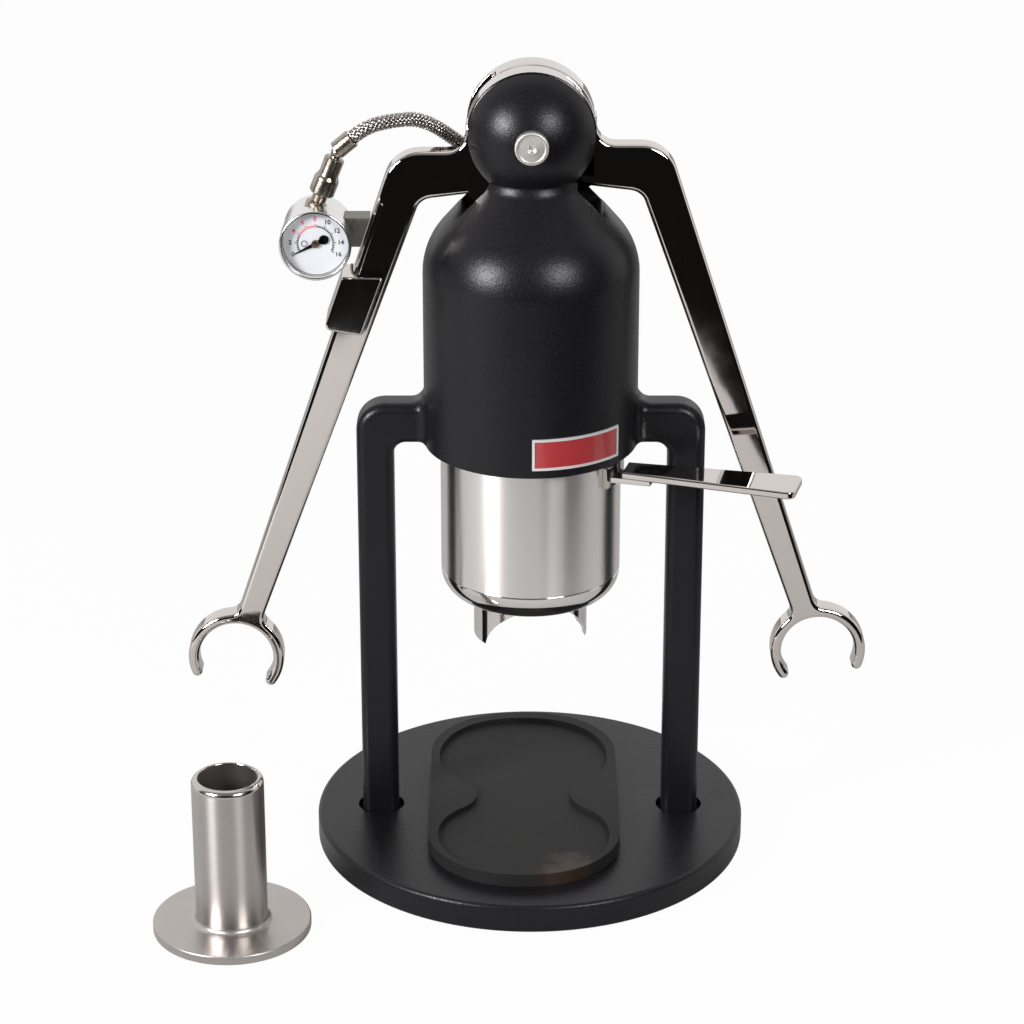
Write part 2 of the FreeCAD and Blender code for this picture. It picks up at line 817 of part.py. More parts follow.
def make_arm(label, turn):
    """Make one lever in the left arm's place and turn it about the machine's upright axis."""
    body = new_body(label)
    disc = new_sketch(body, "XZ_Plane", "arm_gap")
    draw_circle(disc, "0", "0", "head_radius")
    add_pad(body, disc, "arm_thick")
    forearm = new_sketch(body, "XZ_Plane", "arm_gap")
    draw_loop(forearm, [
        ("-head_radius / 2", "-root_top"),
        ("-elbow_reach", "-root_top"),
        ("-forearm_outer_foot", "-forearm_outer_drop"),
        ("-forearm_inner_foot", "-forearm_inner_drop"),
        ("-crook_reach", "-root_bottom"),
        ("-head_radius / 2 + 4", "-root_bottom + 4"),
    ])
    add_pad(body, forearm, "arm_thick")
    # The ring is open at the bottom and its inner jaw is the longer one.
    hook = new_sketch(body, "XZ_Plane", "arm_gap")
    x_of = "-hook_reach + %s * cos%s"
    z_of = "-hook_drop + %s * sin%s"
    start, end = "(-hook_inner_tip)", "(180 + hook_outer_tip)"
    top = "(90)"
    draw_loop(hook, [
        (x_of % ("hook_outer", start), z_of % ("hook_outer", start), "hook_outer"),
        (x_of % ("hook_outer", top), z_of % ("hook_outer", top), "hook_outer"),
        (x_of % ("hook_outer", end), z_of % ("hook_outer", end)),
        (x_of % ("hook_inner", end), z_of % ("hook_inner", end), "-hook_inner"),
        (x_of % ("hook_inner", top), z_of % ("hook_inner", top), "-hook_inner"),
        (x_of % ("hook_inner", start), z_of % ("hook_inner", start)),
    ])
    ringed = add_pad(body, hook, "arm_thick")
    # Corners of the outline
    tips = []
    for radius in ("hook_outer", "hook_inner"):
        for angle in (start, end):
            tips += upright_edge(ringed, x_of % (radius, angle), z_of % (radius, angle))
    tipped = add_fillet(body, ringed, tips, "hook_tip_round")
    elbowed = add_fillet(body, tipped, upright_edge(tipped, "-elbow_reach", "-root_top"), "elbow_round")
    crooked = add_fillet(body, elbowed, upright_edge(elbowed, "-crook_reach", "-root_bottom"),
                         "crook_round")
    rooted = add_fillet(body, crooked, upright_edge(
        crooked, "-sqrt(head_radius^2 - root_top^2)", "-root_top"), "root_fillet")
    reach, drop, hand = size("hook_reach"), size("hook_drop"), size("hook_outer")
    meetings = edges_where(rooted, lambda edge, middle: along(edge, FreeCAD.Vector(0, 1, 0))
                           and abs(((middle.x + reach) ** 2 + (middle.z + drop) ** 2) ** 0.5 - hand) < 0.05
                           and middle.z > -drop + hand / 2)
    webbed = add_fillet(body, rooted, meetings, "hook_root_round")
    # Edge rounds on both faces, outside the disc
    near = size("head_radius") + 1.5
    faces = (-size("arm_gap"), -size("arm_gap + arm_thick"))
    rims = edges_where(webbed, lambda edge, middle: min(abs(middle.y - face) for face in faces) < 1e-4
                       and all((v.X ** 2 + v.Z ** 2) ** 0.5 > near for v in edge.Vertexes))
    add_fillet(body, webbed, rims, "arm_edge")
    # Crank lobe below the root, in the outer half of the disc only
    pin_x = "-crank_out"
    pin_z = "(crank_height - pivot_height)"
    lobe = new_sketch(body, "XZ_Plane", "arm_gap + link_inner + link_thick + link_side_gap - 0.15")
    draw_loop(lobe, [
        ("-(head_radius + 1.8)", "-root_bottom + 1"),
        ("%s - crank_boss * 0.35" % pin_x, "%s - crank_boss * 0.9367" % pin_z),
        ("%s + crank_boss" % pin_x, "%s" % pin_z),
        ("0", "-head_radius / 2"),
    ])
    add_pad(body, lobe, "disc_face - link_inner - link_thick - link_side_gap")
    boss = new_sketch(body, "XZ_Plane", "link_inner + link_thick + link_side_gap")
    draw_circle(boss, pin_x, pin_z, "crank_boss")
    add_pad(body, boss, "disc_face - link_inner - link_thick - link_side_gap")
    # The disc and the root's end are thinned on the outer face to pass the slot.
    step = new_sketch(body, "XZ_Plane", "arm_gap + arm_thick + 1")
    draw_loop(step, [
        ("-29.8", "-root_bottom - 3"),
        ("-29.1", "-root_bottom - 0.1"),
        ("-26.7", "-10.1"),
        ("-21.9", "-root_top + 0.1"),
        ("-24.4", "-3.6"),
        ("-head_radius - 3", "head_radius + 6"),
        ("head_radius + 6", "head_radius + 6"),
        ("head_radius + 6", "-head_radius - 12"),
        ("-head_radius", "-head_radius - 12"),
    ])
    add_pocket(body, step, "arm_gap + arm_thick + 1 - disc_face")
    # Pocket on the inner face in which the link swings
    link_room = new_sketch(body, "XZ_Plane", "link_inner + link_thick + link_side_gap")
    draw_loop(link_room, [
        ("-hub_boss * cos(45)", "-hub_boss * sin(45)", "hub_boss"),
        ("0", "-hub_boss", "hub_boss"),
        ("hub_boss", "0", "hub_boss"),
        ("hub_boss * cos(57)", "hub_boss * sin(57)"),
        ("40 * cos(57)", "40 * sin(57)"),
        ("40", "-40"),
        ("-24", "-40"),
        ("-23.4", "-21.4"),
        ("-20.4", "-19.8"),
        ("-17.4", "-16.7"),
    ])
    add_pocket(body, link_room, "link_inner + link_thick + link_side_gap")
    # Pivot bore, washer seat and crank pin hole
    bore = new_sketch(body, "XZ_Plane", "arm_gap + arm_thick")
    draw_circle(bore, "0", "0", "shaft_radius + run_gap")
    draw_circle(bore, pin_x, pin_z, "crank_pin + press_gap")
    add_pocket(body, bore, "arm_gap + arm_thick")
    seat = new_sketch(body, "XZ_Plane", "disc_face + 1")
    draw_circle(seat, "0", "0", "thrust_radius + 0.2")
    add_pocket(body, seat, "disc_face + 1 - (slot_half - 2 * run_gap - thrust_thick)")
    place(body, z="pivot_height", angle=turn)
    return body


# Cranks and links: a pin in each disc drives the wrist through a link

def make_crank_pin(label, side, front):
    """Make one crank pin, pressed into the outer half of its disc."""
    turned_part(
        label, ring("0", "crank_pin", "link_inner - 0.1", "disc_face - 0.2"),
        x="%s crank_out" % side, z="crank_height",
        axis=(1, 0, 0), angle=front,
    )


def make_link(label, turn):
    """Make one link in the left link's place: eye at the crank, slotted head at the wrist.

    The outline is drawn with the eye at the origin and the wrist straight below it, and
    the whole sketch leans with the link.
    """
    body = new_body(label)
    flat = new_sketch(body, "XZ_Plane", "link_inner")
    draw_circle(flat, "0", "0", "link_eye")
    add_pad(body, flat, "link_thick")
    bar = new_sketch(body, "XZ_Plane", "link_inner")
    draw_loop(bar, [
        ("-link_width / 2", "0"),
        ("-link_width / 2", "-link_length"),
        ("link_width / 2", "-link_length"),
        ("link_width / 2", "0"),
    ])
    add_pad(body, bar, "link_thick")
    middle_x = "slot_travel / 2"
    middle_z = "-link_length + slot_rise / 2"
    end_radius = "(wrist_pin + slot_extra_width)"
    for radius, cut in (("(%s + slot_wall)" % end_radius, False), (end_radius, True)):
        sketch = new_sketch(body, "XZ_Plane", "link_inner + link_thick" if cut else "link_inner")
        half = "(slot_travel / 2 + wrist_pin + slot_play - %s)" % end_radius
        draw_loop(sketch, [
            ("%s - %s" % (middle_x, half), "%s - %s" % (middle_z, radius)),
            ("%s + %s" % (middle_x, half), "%s - %s" % (middle_z, radius), radius),
            ("%s + %s + %s" % (middle_x, half, radius), middle_z, radius),
            ("%s + %s" % (middle_x, half), "%s + %s" % (middle_z, radius)),
            ("%s - %s" % (middle_x, half), "%s + %s" % (middle_z, radius), radius),
            ("%s - %s - %s" % (middle_x, half, radius), middle_z, radius),
        ])
        if cut:
            add_pocket(body, sketch, "link_thick")
        else:
            add_pad(body, sketch, "link_thick")
    eye = new_sketch(body, "XZ_Plane", "link_inner + link_thick")
    draw_circle(eye, "0", "0", "crank_pin + run_gap")
    add_pocket(body, eye, "link_thick")
    # Lean the link about its eye, then turn the right one to the rear half.
    lean = FreeCAD.Rotation(FreeCAD.Vector(0, -1, 0), size("asin(crank_out / link_length)"))
    body.Placement = FreeCAD.Placement(
        FreeCAD.Vector(0, 0, 0), FreeCAD.Rotation(FreeCAD.Vector(0, 0, 1), turn).multiply(lean)
    )
    side = "-" if turn == 0 else ""
    body.setExpression(".Placement.Base.x", bind("%scrank_out" % side))
    body.setExpression(".Placement.Base.z", bind("crank_height"))
    return body


def make_wrist():
    """Make the wrist pin and the two clips that keep it in the clevis."""
    cheek_face = "(link_inner + link_thick + link_side_gap + cheek_thick)"
    turned_part("wrist_pin", ring("0", "wrist_pin", "-%s - clip_thick - 0.1" % cheek_face,
                                  "%s + clip_thick + 0.1" % cheek_face), z="wrist_height", **FLAT_TO_FRONT)
    clips = []
    for turn in ("90", "-90"):
        clip = hidden_body("wrist_clip")
        add_turned(clip, ring("wrist_pin + press_gap", "clip_radius", "%s + 0.05" % cheek_face,
                              "%s + 0.05 + clip_thick" % cheek_face))
        opening = new_sketch(clip, "XY_Plane", "%s + clip_thick + 1" % cheek_face)
        draw_loop(opening, [("-1.6", "0"), ("1.6", "0"), ("1.6", "6"), ("-1.6", "6")])
        add_pocket(clip, opening, "clip_thick + 2")
        place(clip, z="wrist_height", axis=(1, 0, 0), angle=turn)
        clips.append(clip)
    group("wrist_clips", clips)


# Piston: rod with a clevis, head, seal, screw and the guide bush in the casting

def make_piston():
    """Make the sliding parts and the bush that they run in."""
    rod = new_body("piston_rod")
    top = "piston_bottom + piston_thick"
    add_turned(rod, ring("0", "rod_radius", top, "rod_top + 0.5"))
    cheek_face = "(link_inner + link_thick + link_side_gap + cheek_thick)"
    block = new_sketch(rod, "XY_Plane", "rod_top")
    draw_loop(block, [
        ("-cheek_round", "-%s" % cheek_face),
        ("cheek_round", "-%s" % cheek_face),
        ("cheek_round", cheek_face),
        ("-cheek_round", cheek_face),
    ])
    add_pad(rod, block, "wrist_height - rod_top")
    eyes = new_sketch(rod, "XZ_Plane")
    draw_circle(eyes, "0", "wrist_height", "cheek_round")
    add_pad(rod, eyes, "2 * %s" % cheek_face, both_ways=True)
    fork = new_sketch(rod, "XZ_Plane", "link_inner + link_thick + link_side_gap")
    draw_loop(fork, [
        ("-cheek_round - 1", "wrist_height - cheek_floor"),
        ("cheek_round + 1", "wrist_height - cheek_floor"),
        ("cheek_round + 1", "wrist_height + cheek_round + 1"),
        ("-cheek_round - 1", "wrist_height + cheek_round + 1"),
    ])
    add_pocket(rod, fork, "2 * (link_inner + link_thick + link_side_gap)")
    pin_hole = new_sketch(rod, "XZ_Plane", "%s + 1" % cheek_face)
    draw_circle(pin_hole, "0", "wrist_height", "wrist_pin + press_gap")
    add_pocket(rod, pin_hole, "2 * %s + 2" % cheek_face)
    thread = new_sketch(rod, "XY_Plane", "%s + screw_depth + 1" % top)
    draw_circle(thread, "0", "0", "screw_radius + thread_gap")
    add_pocket(rod, thread, "screw_depth + 1")
    groove_low = "piston_bottom + seal_bottom"
    turned_part("piston_head", [
        ("screw_head + 0.4", "piston_bottom"),
        ("piston_radius - 1.2", "piston_bottom"),
        ("piston_radius", "piston_bottom + 1.2"),
        ("piston_radius", groove_low),
        ("piston_radius - seal_depth", groove_low),
        ("piston_radius - seal_depth", "%s + seal_height + 2 * run_gap" % groove_low),
        ("piston_radius", "%s + seal_height + 2 * run_gap" % groove_low),
        ("piston_radius", "%s - 1" % top),
        ("piston_radius - 1", top),
        ("screw_radius + bolt_gap", top),
        ("screw_radius + bolt_gap", "piston_bottom + screw_head_height + 0.4"),
        ("screw_head + 0.4", "piston_bottom + screw_head_height + 0.4"),
    ])
    lip = "(basket_bore - seal_gap)"
    seal_in = "(piston_radius - seal_depth + run_gap)"
    low = "(%s + run_gap)" % groove_low
    turned_part("piston_seal", [
        (seal_in, low),
        ("piston_radius - 0.3", low),
        (lip, "%s + 0.7" % low),
        (lip, "%s + 1.7" % low),
        ("piston_radius - 0.2", "%s + seal_height / 2" % low),
        (lip, "%s + seal_height - 1.7" % low),
        (lip, "%s + seal_height - 0.7" % low),
        ("piston_radius - 0.3", "%s + seal_height" % low),
        (seal_in, "%s + seal_height" % low),
    ])
    screw = new_body("piston_screw")
    seat = "piston_bottom + screw_head_height + 0.4"
    add_turned(screw, [
        ("0", "piston_bottom + 0.4"),
        ("screw_head - 0.6", "piston_bottom + 0.4"),
        ("screw_head", "piston_bottom + 1"),
        ("screw_head", seat),
        ("screw_radius", seat),
        ("screw_radius", "%s + screw_depth - 0.6" % top),
        ("screw_radius - 0.6", "%s + screw_depth" % top),
        ("0", "%s + screw_depth" % top),
    ])
    drive = new_sketch(screw, "XY_Plane", "piston_bottom + 2.4")
    draw_hexagon(drive, "0", "0", "2.9")
    add_pocket(screw, drive, "2")
    turned_part("rod_guide_bush", [
        ("rod_radius + run_gap", "web_bottom - bush_flange_thick"),
        ("bush_flange", "web_bottom - bush_flange_thick"),
        ("bush_flange", "web_bottom"),
        ("bush_radius", "web_bottom"),
        ("bush_radius", "web_bottom + web_thick + bush_proud - 0.4"),
        ("bush_radius - 0.4", "web_bottom + web_thick + bush_proud"),
        ("rod_radius + run_gap", "web_bottom + web_thick + bush_proud"),
    ])


# Portafilter: cup with bayonet ears, basket, filter, loose screen, spout and handle

def make_portafilter_cup():
    """Turn the polished cup and raise its three bayonet ears."""
    body = new_body("portafilter_cup")
    inner = "(cup_radius - cup_wall)"
    turn_top = "(cup_bottom + cup_turn_height)"
    add_turned(body, [
        ("outlet_radius", "cup_bottom"),
        ("cup_base_radius - 0.8", "cup_bottom"),
        ("cup_base_radius", "cup_bottom + 0.8", "cup_belly"),
        ("cup_radius", turn_top),
        ("cup_radius", "line_height - line_depth"),
        ("cup_radius - line_depth", "line_height"),
        ("cup_radius", "line_height + line_depth"),
        ("cup_radius", "cup_top - 0.5"),
        ("cup_radius - 0.5", "cup_top"),
        (inner, "cup_top"),
        (inner, turn_top),
        ("cup_base_radius - cup_wall", "cup_bottom + cup_floor"),
        ("outlet_radius", "cup_bottom + cup_floor"),
    ])
    ears = new_sketch(body, "XY_Plane", "ledge_top + ear_lift")
    for ear in range(3):
        middle = "(90 + %d)" % (ear * 120)
        low, high = "(%s - ear_angle / 2)" % middle, "(%s + ear_angle / 2)" % middle
        draw_loop(ears, [
            ("(cup_radius - 1) * cos%s" % low, "(cup_radius - 1) * sin%s" % low),
            ("ear_radius * cos%s" % low, "ear_radius * sin%s" % low, "ear_radius"),
            ("ear_radius * cos%s" % high, "ear_radius * sin%s" % high),
            ("(cup_radius - 1) * cos%s" % high, "(cup_radius - 1) * sin%s" % high),
        ])
    add_pad(body, ears, "ear_thick")
    return body


def make_basket():
    """Turn the coffee basket, its filter plate and the loose screen on top."""
    outer = "(basket_bore + basket_wall)"
    floor_top = "(basket_floor + basket_wall)"
    turned_part("coffee_basket", [
        ("basket_ledge", "basket_floor"),
        ("%s - basket_corner" % outer, "basket_floor"),
        (outer, "basket_floor + basket_corner"),
        (outer, "cup_top"),
        ("basket_flange", "cup_top"),
        ("basket_flange", "cup_top + basket_flange_thick"),
        ("basket_bore + 0.4", "cup_top + basket_flange_thick"),
        ("basket_bore", "cup_top + basket_flange_thick - 0.6"),
        ("basket_bore", floor_top),
        ("basket_ledge", floor_top),
    ])
    for label, low, thick in (("filter_plate", floor_top, "filter_thick"),
                              ("dispersion_screen", "(%s + filter_thick + run_gap)" % floor_top,
                               "screen_thick")):
        plate = new_body(label)
        add_turned(plate, ring("0", "basket_bore - filter_gap", low, "%s + %s" % (low, thick)))
        if label == "dispersion_screen":
            add_turned(plate, [
                ("0", low),
                ("1.6", low),
                ("1.6", "%s + screen_grip - 1.5" % low),
                ("3", "%s + screen_grip - 1" % low),
                ("3", "%s + screen_grip - 0.3" % low),
                ("2.6", "%s + screen_grip" % low),
                ("0", "%s + screen_grip" % low),
            ])
        holes = new_sketch(plate, "XY_Plane", "%s + %s" % (low, thick))
        for ring_number in (1, 2):
            for step in range(6 * ring_number):
                turn = step * 60 / ring_number
                draw_circle(holes, "%d * filter_pitch * cos(%g)" % (ring_number, turn),
                            "%d * filter_pitch * sin(%g)" % (ring_number, turn), "filter_hole")
        add_pocket(plate, holes, "%s + 0.1" % thick)


def make_spout():
    """Cut the spout's arch across a tube, which leaves two pointed legs."""
    body = new_body("spout")
    add_turned(body, [
        ("spout_radius - spout_wall", "spout_tip"),
        ("spout_radius", "spout_tip"),
        ("spout_radius", "cup_bottom"),
        ("spout_boss - 3.2", "cup_bottom"),
        ("spout_boss - 3.2", "cup_bottom - spout_wall"),
        ("spout_radius - spout_wall", "cup_bottom - spout_wall"),
    ])
    arch = new_sketch(body, "XZ_Plane", "spout_radius + 1")
    draw_circle(arch, "0", "spout_arch_height", "spout_arch")
    add_pocket(body, arch, "2 * spout_radius + 2")
    place(body, angle="spout_turn")
    nut = turned_part("spout_nut", [
        ("outlet_radius - 1.6", "cup_bottom - spout_wall - 1.8"),
        ("spout_boss", "cup_bottom - spout_wall - 1.8"),
        ("spout_boss", "cup_bottom - spout_wall"),
        ("outlet_radius - run_gap", "cup_bottom - spout_wall"),
        ("outlet_radius - run_gap", "cup_bottom + cup_floor + 1"),
        ("outlet_radius - 1.6", "cup_bottom + cup_floor + 1"),
    ])
    return nut


def make_handle():
    """Make the flat handle and the curved bracket on the cup."""
    root = "(handle_root_width / 2)"
    end = "(handle_end_width / 2)"
    handle = new_body("portafilter_handle")
    plan = new_sketch(handle, "XY_Plane", "handle_top - handle_thick")
    draw_loop(plan, [
        ("handle_start", "-handle_side - %s" % root),
        ("handle_end", "-handle_side - %s" % end),
        ("handle_end", "-handle_side + %s" % end),
        ("handle_start", "-handle_side + %s" % root),
    ])
    bar = add_pad(handle, plan, "handle_thick")
    ends = edges_where(bar, lambda edge, middle: along(edge, FreeCAD.Vector(0, 0, 1))
                       and middle.x > size("handle_end") - 1)
    rounded = add_fillet(handle, bar, ends, "handle_corner")
    rims = edges_where(rounded, lambda edge, middle: not along(edge, FreeCAD.Vector(0, 0, 1))
                       and middle.x > size("handle_start") + 1)
    add_fillet(handle, rounded, rims, "handle_edge")
    place(handle, angle="-handle_angle")
    bracket = new_body("handle_bracket")
    inner = "(cup_radius + run_gap)"
    outer = "(%s + bracket_thick)" % inner
    low = "(-bracket_angle - bracket_half_angle)"
    high = "(-bracket_angle + bracket_half_angle)"
    base = "handle_top - handle_thick - bracket_thick"
    curve = new_sketch(bracket, "XY_Plane", "%s - bracket_drop" % base)
    draw_loop(curve, [
        ("%s * cos%s" % (inner, low), "%s * sin%s" % (inner, low)),
        ("%s * cos%s" % (outer, low), "%s * sin%s" % (outer, low), outer),
        ("%s * cos%s" % (outer, high), "%s * sin%s" % (outer, high)),
        ("%s * cos%s" % (inner, high), "%s * sin%s" % (inner, high), "-%s" % inner),
    ])
    add_pad(bracket, curve, "bracket_height")
    tongue = new_sketch(bracket, "XY_Plane", base)
    near = "(sqrt(%s^2 - (handle_side + %s)^2) - 0.5)" % (outer, root)
    draw_loop(tongue, [
        (near, "-handle_side - %s + 0.5" % root),
        ("handle_start + tongue_length", "-handle_side - %s + 0.5" % root),
        ("handle_start + tongue_length", "-handle_side + %s - 0.5" % root),
        (near, "-handle_side + %s - 0.5" % root),
    ])
    add_pad(bracket, tongue, "bracket_thick")
    inside = new_sketch(bracket, "XY_Plane", "%s + bracket_thick + 1" % base)
    draw_circle(inside, "0", "0", inner)
    add_pocket(bracket, inside, "bracket_thick + 2")
    place(bracket, angle="-handle_angle")


# Mat: loose rubber mat with a waisted recess

def make_mat():
    """Raise the mat, sink its recess and leave the two lobes that make the waist."""
    body = new_body("drip_mat")
    low = "base_top + mat_gap"

    def rounded_plate(border, level, radius):
        sketch = new_sketch(body, "XY_Plane", level)
        half = "(mat_width / 2 - %s)" % border
        front = "(mat_front - %s)" % border
        back = "(mat_back - %s)" % border
        draw_loop(sketch, [
            ("mat_offset + %s" % half, "-(%s - %s)" % (front, radius)),
            ("mat_offset + %s" % half, "%s - %s" % (back, radius), radius),
            ("mat_offset + %s - %s" % (half, radius), back),
            ("mat_offset - %s + %s" % (half, radius), back, radius),
            ("mat_offset - %s" % half, "%s - %s" % (back, radius)),
            ("mat_offset - %s" % half, "-(%s - %s)" % (front, radius), radius),
            ("mat_offset - %s + %s" % (half, radius), "-%s" % front),
            ("mat_offset + %s - %s" % (half, radius), "-%s" % front, radius),
        ])
        return sketch

    plate = add_pad(body, rounded_plate("0", low, "mat_corner"), "mat_thick")
    top_edges = edges_where(plate, lambda edge, middle: abs(middle.z - size("%s + mat_thick" % low)) < 1e-4)
    add_fillet(body, plate, top_edges, "mat_edge", "PartDesign::Chamfer")
    add_pocket(body, rounded_plate("mat_border", "%s + mat_thick" % low, "(mat_corner - mat_border)"),
               "mat_recess")
    lobes = new_sketch(body, "XY_Plane", "%s + mat_thick - mat_recess" % low)
    wall = "(mat_width / 2 - mat_border + 1)"
    middle = "((mat_back - mat_front) / 2)"
    for sign, sweep in (("", ""), ("-", "-")):
        tip = "mat_offset + %s(mat_waist + mat_lobe * (1 - cos(60)))" % sign
        rise = "mat_lobe * sin(60)"
        root = "mat_offset + %s%s" % (sign, wall)
        draw_loop(lobes, [
            (root, "%s - mat_lobe_reach" % middle, "%smat_lobe_flank" % sweep),
            (tip, "%s - %s" % (middle, rise), "%smat_lobe" % ("-" if sign == "" else "")),
            (tip, "%s + %s" % (middle, rise), "%smat_lobe_flank" % sweep),
            (root, "%s + mat_lobe_reach" % middle),
        ])
    add_pad(body, lobes, "mat_recess")


# Gauge: case, bezel, dial, lens and pointer, all on the axis of the dial

def make_gauge():
    """Make the pressure gauge that hangs beside the left forearm."""
    spot = dict(x="-gauge_x", y="case_back", z="gauge_z", **FLAT_TO_FRONT)
    dial_seat = "(case_depth - case_step)"
    turned_part("gauge_case", [
        ("0", "0"),
        ("case_radius - 1", "0"),
        ("case_radius", "1"),
        ("case_radius", "case_depth"),
        ("dial_radius + 0.1", "case_depth"),
        ("dial_radius + 0.1", dial_seat),
        ("0", dial_seat),
    ], **spot)
    turned_part("gauge_dial", ring("pointer_hub - 0.5", "dial_radius", dial_seat,
                                   "%s + dial_thick" % dial_seat), **spot)
    turned_part("gauge_lens", ring("0", "case_radius - 0.2", "case_depth + 0.05",
                                   "case_depth + 0.05 + lens_thick"), **spot)
    lip = "(case_depth + 0.1 + lens_thick)"
    turned_part("gauge_bezel", [
        ("case_radius + run_gap", "case_depth - bezel_depth"),
        ("bezel_radius - 0.2", "case_depth - bezel_depth"),
        ("bezel_radius", "case_depth - bezel_depth + 0.2"),
        ("bezel_radius", "bezel_front - 0.6"),
        ("bezel_radius - 0.6", "bezel_front"),
        ("bezel_lip + 0.3", "bezel_front"),
        ("bezel_lip", lip),
        ("case_radius + run_gap", lip),
    ], **spot)
    pointer = new_body("gauge_pointer")
    level = "%s + dial_thick + 0.3 - case_back" % dial_seat
    blade = new_sketch(pointer, "XZ_Plane", level)
    draw_loop(blade, [
        ("0", "-pointer_width / 2"),
        ("pointer_length", "-0.12"),
        ("pointer_length", "0.12"),
        ("0", "pointer_width / 2"),
        ("-pointer_tail + 1.6", "pointer_width / 2"),
        ("-pointer_tail", "pointer_width"),
        ("-pointer_tail", "-pointer_width"),
        ("-pointer_tail + 1.6", "-pointer_width / 2"),
    ])
    add_pad(pointer, blade, "0.3")
    hub = new_sketch(pointer, "XZ_Plane", level)
    draw_circle(hub, "0", "0", "pointer_hub")
    add_pad(pointer, hub, "0.8")
    place(pointer, x="-gauge_x", z="gauge_z", axis=(0, -1, 0), angle="pointer_rest")


def make_gauge_stem():
    """Make the tilted stem on the case, the ferrule above it and their ball joint."""
    stem = new_body("gauge_stem")
    ball = "(stem_length + 2)"
    add_turned(stem, [
        ("0", "-3"),
        ("stem_foot", "-3"),
        ("stem_foot", "1"),
        ("stem_waist", "1.8"),
        ("stem_waist", "stem_nut_low - 0.5"),
        ("stem_nut - 0.5", "stem_nut_low"),
        ("stem_nut", "stem_nut_low + 0.6"),
        ("stem_nut", "stem_nut_high - 0.8"),
        ("stem_neck", "stem_nut_high + 1.2"),
        ("stem_neck", "stem_length - 0.4"),
        ("stem_neck - 0.4", "stem_length"),
        ("stem_ball * sin(50)", "stem_length"),
        ("stem_ball * sin(50)", "%s - stem_ball * cos(50)" % ball, "stem_ball"),
        ("stem_ball", ball, "stem_ball"),
        ("0", "%s + stem_ball" % ball),
    ])
    # The saddle is cut to the case, whose axis is square to the stem's.
    saddle = new_sketch(stem, "XZ_Plane", "8")
    across, down = "(stem_x - gauge_x)", "(gauge_z - stem_z)"
    draw_circle(saddle, "%s * cos(stem_angle) - %s * sin(stem_angle)" % (across, down),
                "%s * sin(stem_angle) + %s * cos(stem_angle)" % (across, down), "case_radius + 0.02")
    add_pocket(stem, saddle, "16")
    place(stem, x="-stem_x", y="-stem_y", z="stem_z", axis=(0, 1, 0), angle="stem_angle")
    ferrule = new_body("gauge_ferrule")
    add_turned(ferrule, [
        ("0", "1.9"),
        ("ferrule_bore", "1.9"),
        ("ferrule_bore", "0"),
        ("ferrule_radius", "0"),
        ("ferrule_radius", "ferrule_length - 0.4"),
        ("ferrule_radius - 0.4", "ferrule_length"),
        ("0", "ferrule_length"),
    ])
    place(ferrule, x="-ferrule_x", y="-stem_y", z="ferrule_z", axis=(0, 1, 0), angle="ferrule_angle")


# Clamp: channel round the left forearm, strap up its edge and block to the case

def forearm_edge(drop):
    """Give the reach of the forearm's outer edge at a drop below the pivot."""
    return "(elbow_reach + (%s - root_top) * forearm_run)" % drop


def make_clamp():
    """Make the channel, the strap and the block that carry the gauge."""
    clamp = new_body("gauge_clamp")
    channel = new_sketch(clamp, "XY_Plane", "-clamp_length / 2")
    arm = "clamp_half"
    left = "(%s + clamp_gap + strap_thick + clamp_gap + clamp_wall)" % arm
    front = "(arm_gap + arm_thick + clamp_gap + clamp_wall)"
    back = "(arm_gap - clamp_gap - clamp_wall)"
    draw_loop(channel, [
        ("-%s" % left, "-%s" % front),
        ("%s - clamp_open" % arm, "-%s" % front),
        ("%s - clamp_open" % arm, "-%s + clamp_wall" % front),
        ("-%s + clamp_wall" % left, "-%s + clamp_wall" % front),
        ("-%s + clamp_wall" % left, "-%s - clamp_wall" % back),
        ("%s - clamp_open" % arm, "-%s - clamp_wall" % back),
        ("%s - clamp_open" % arm, "-%s" % back),
        ("-%s" % left, "-%s" % back),
    ])
    sleeve = add_pad(clamp, channel, "clamp_length")
    corners = edges_where(sleeve, lambda edge, middle: along(edge, FreeCAD.Vector(0, 0, 1))
                          and middle.x < -size(left) + 0.1)
    add_fillet(clamp, sleeve, corners, "clamp_round")
    middle_x = "(%s - clamp_half / sin(forearm_angle))" % forearm_edge("clamp_drop")
    spot = dict(x="-%s" % middle_x, z="pivot_height - clamp_drop", axis=(0, 1, 0),
                angle="90 - forearm_angle")
    place(clamp, **spot)
    strap = new_body("gauge_strap")
    side = new_sketch(strap, "XY_Plane", "-clamp_length / 2")
    draw_loop(side, [
        ("-%s - clamp_gap - strap_thick" % arm, "-arm_gap - arm_thick / 2 - strap_width / 2"),
        ("-%s - clamp_gap" % arm, "-arm_gap - arm_thick / 2 - strap_width / 2"),
        ("-%s - clamp_gap" % arm, "-arm_gap - arm_thick / 2 + strap_width / 2"),
        ("-%s - clamp_gap - strap_thick" % arm, "-arm_gap - arm_thick / 2 + strap_width / 2"),
    ])
    add_pad(strap, side, "strap_length")
    place(strap, **spot)
    screw = new_body("clamp_screw")
    face = "(clamp_wall + clamp_gap - arm_gap)"
    add_turned(screw, [
        ("0", "-clamp_wall"),
        ("clamp_screw", "-clamp_wall"),
        ("clamp_screw", "0"),
        ("clamp_screw_head", "0"),
        ("clamp_screw_head", "0.9", "3.5"),
        ("0.6", "1.7"),
        ("0", "1.7"),
    ])
    place(screw, x="-%s" % middle_x, y=face, z="pivot_height - clamp_drop", axis=(1, 0, 0), angle="-90")
    hole = new_sketch(clamp, "XZ_Plane", "1")
    draw_circle(hole, "0", "0", "clamp_screw + press_gap")
    add_pocket(clamp, hole, "clamp_wall + 2")
    return clamp


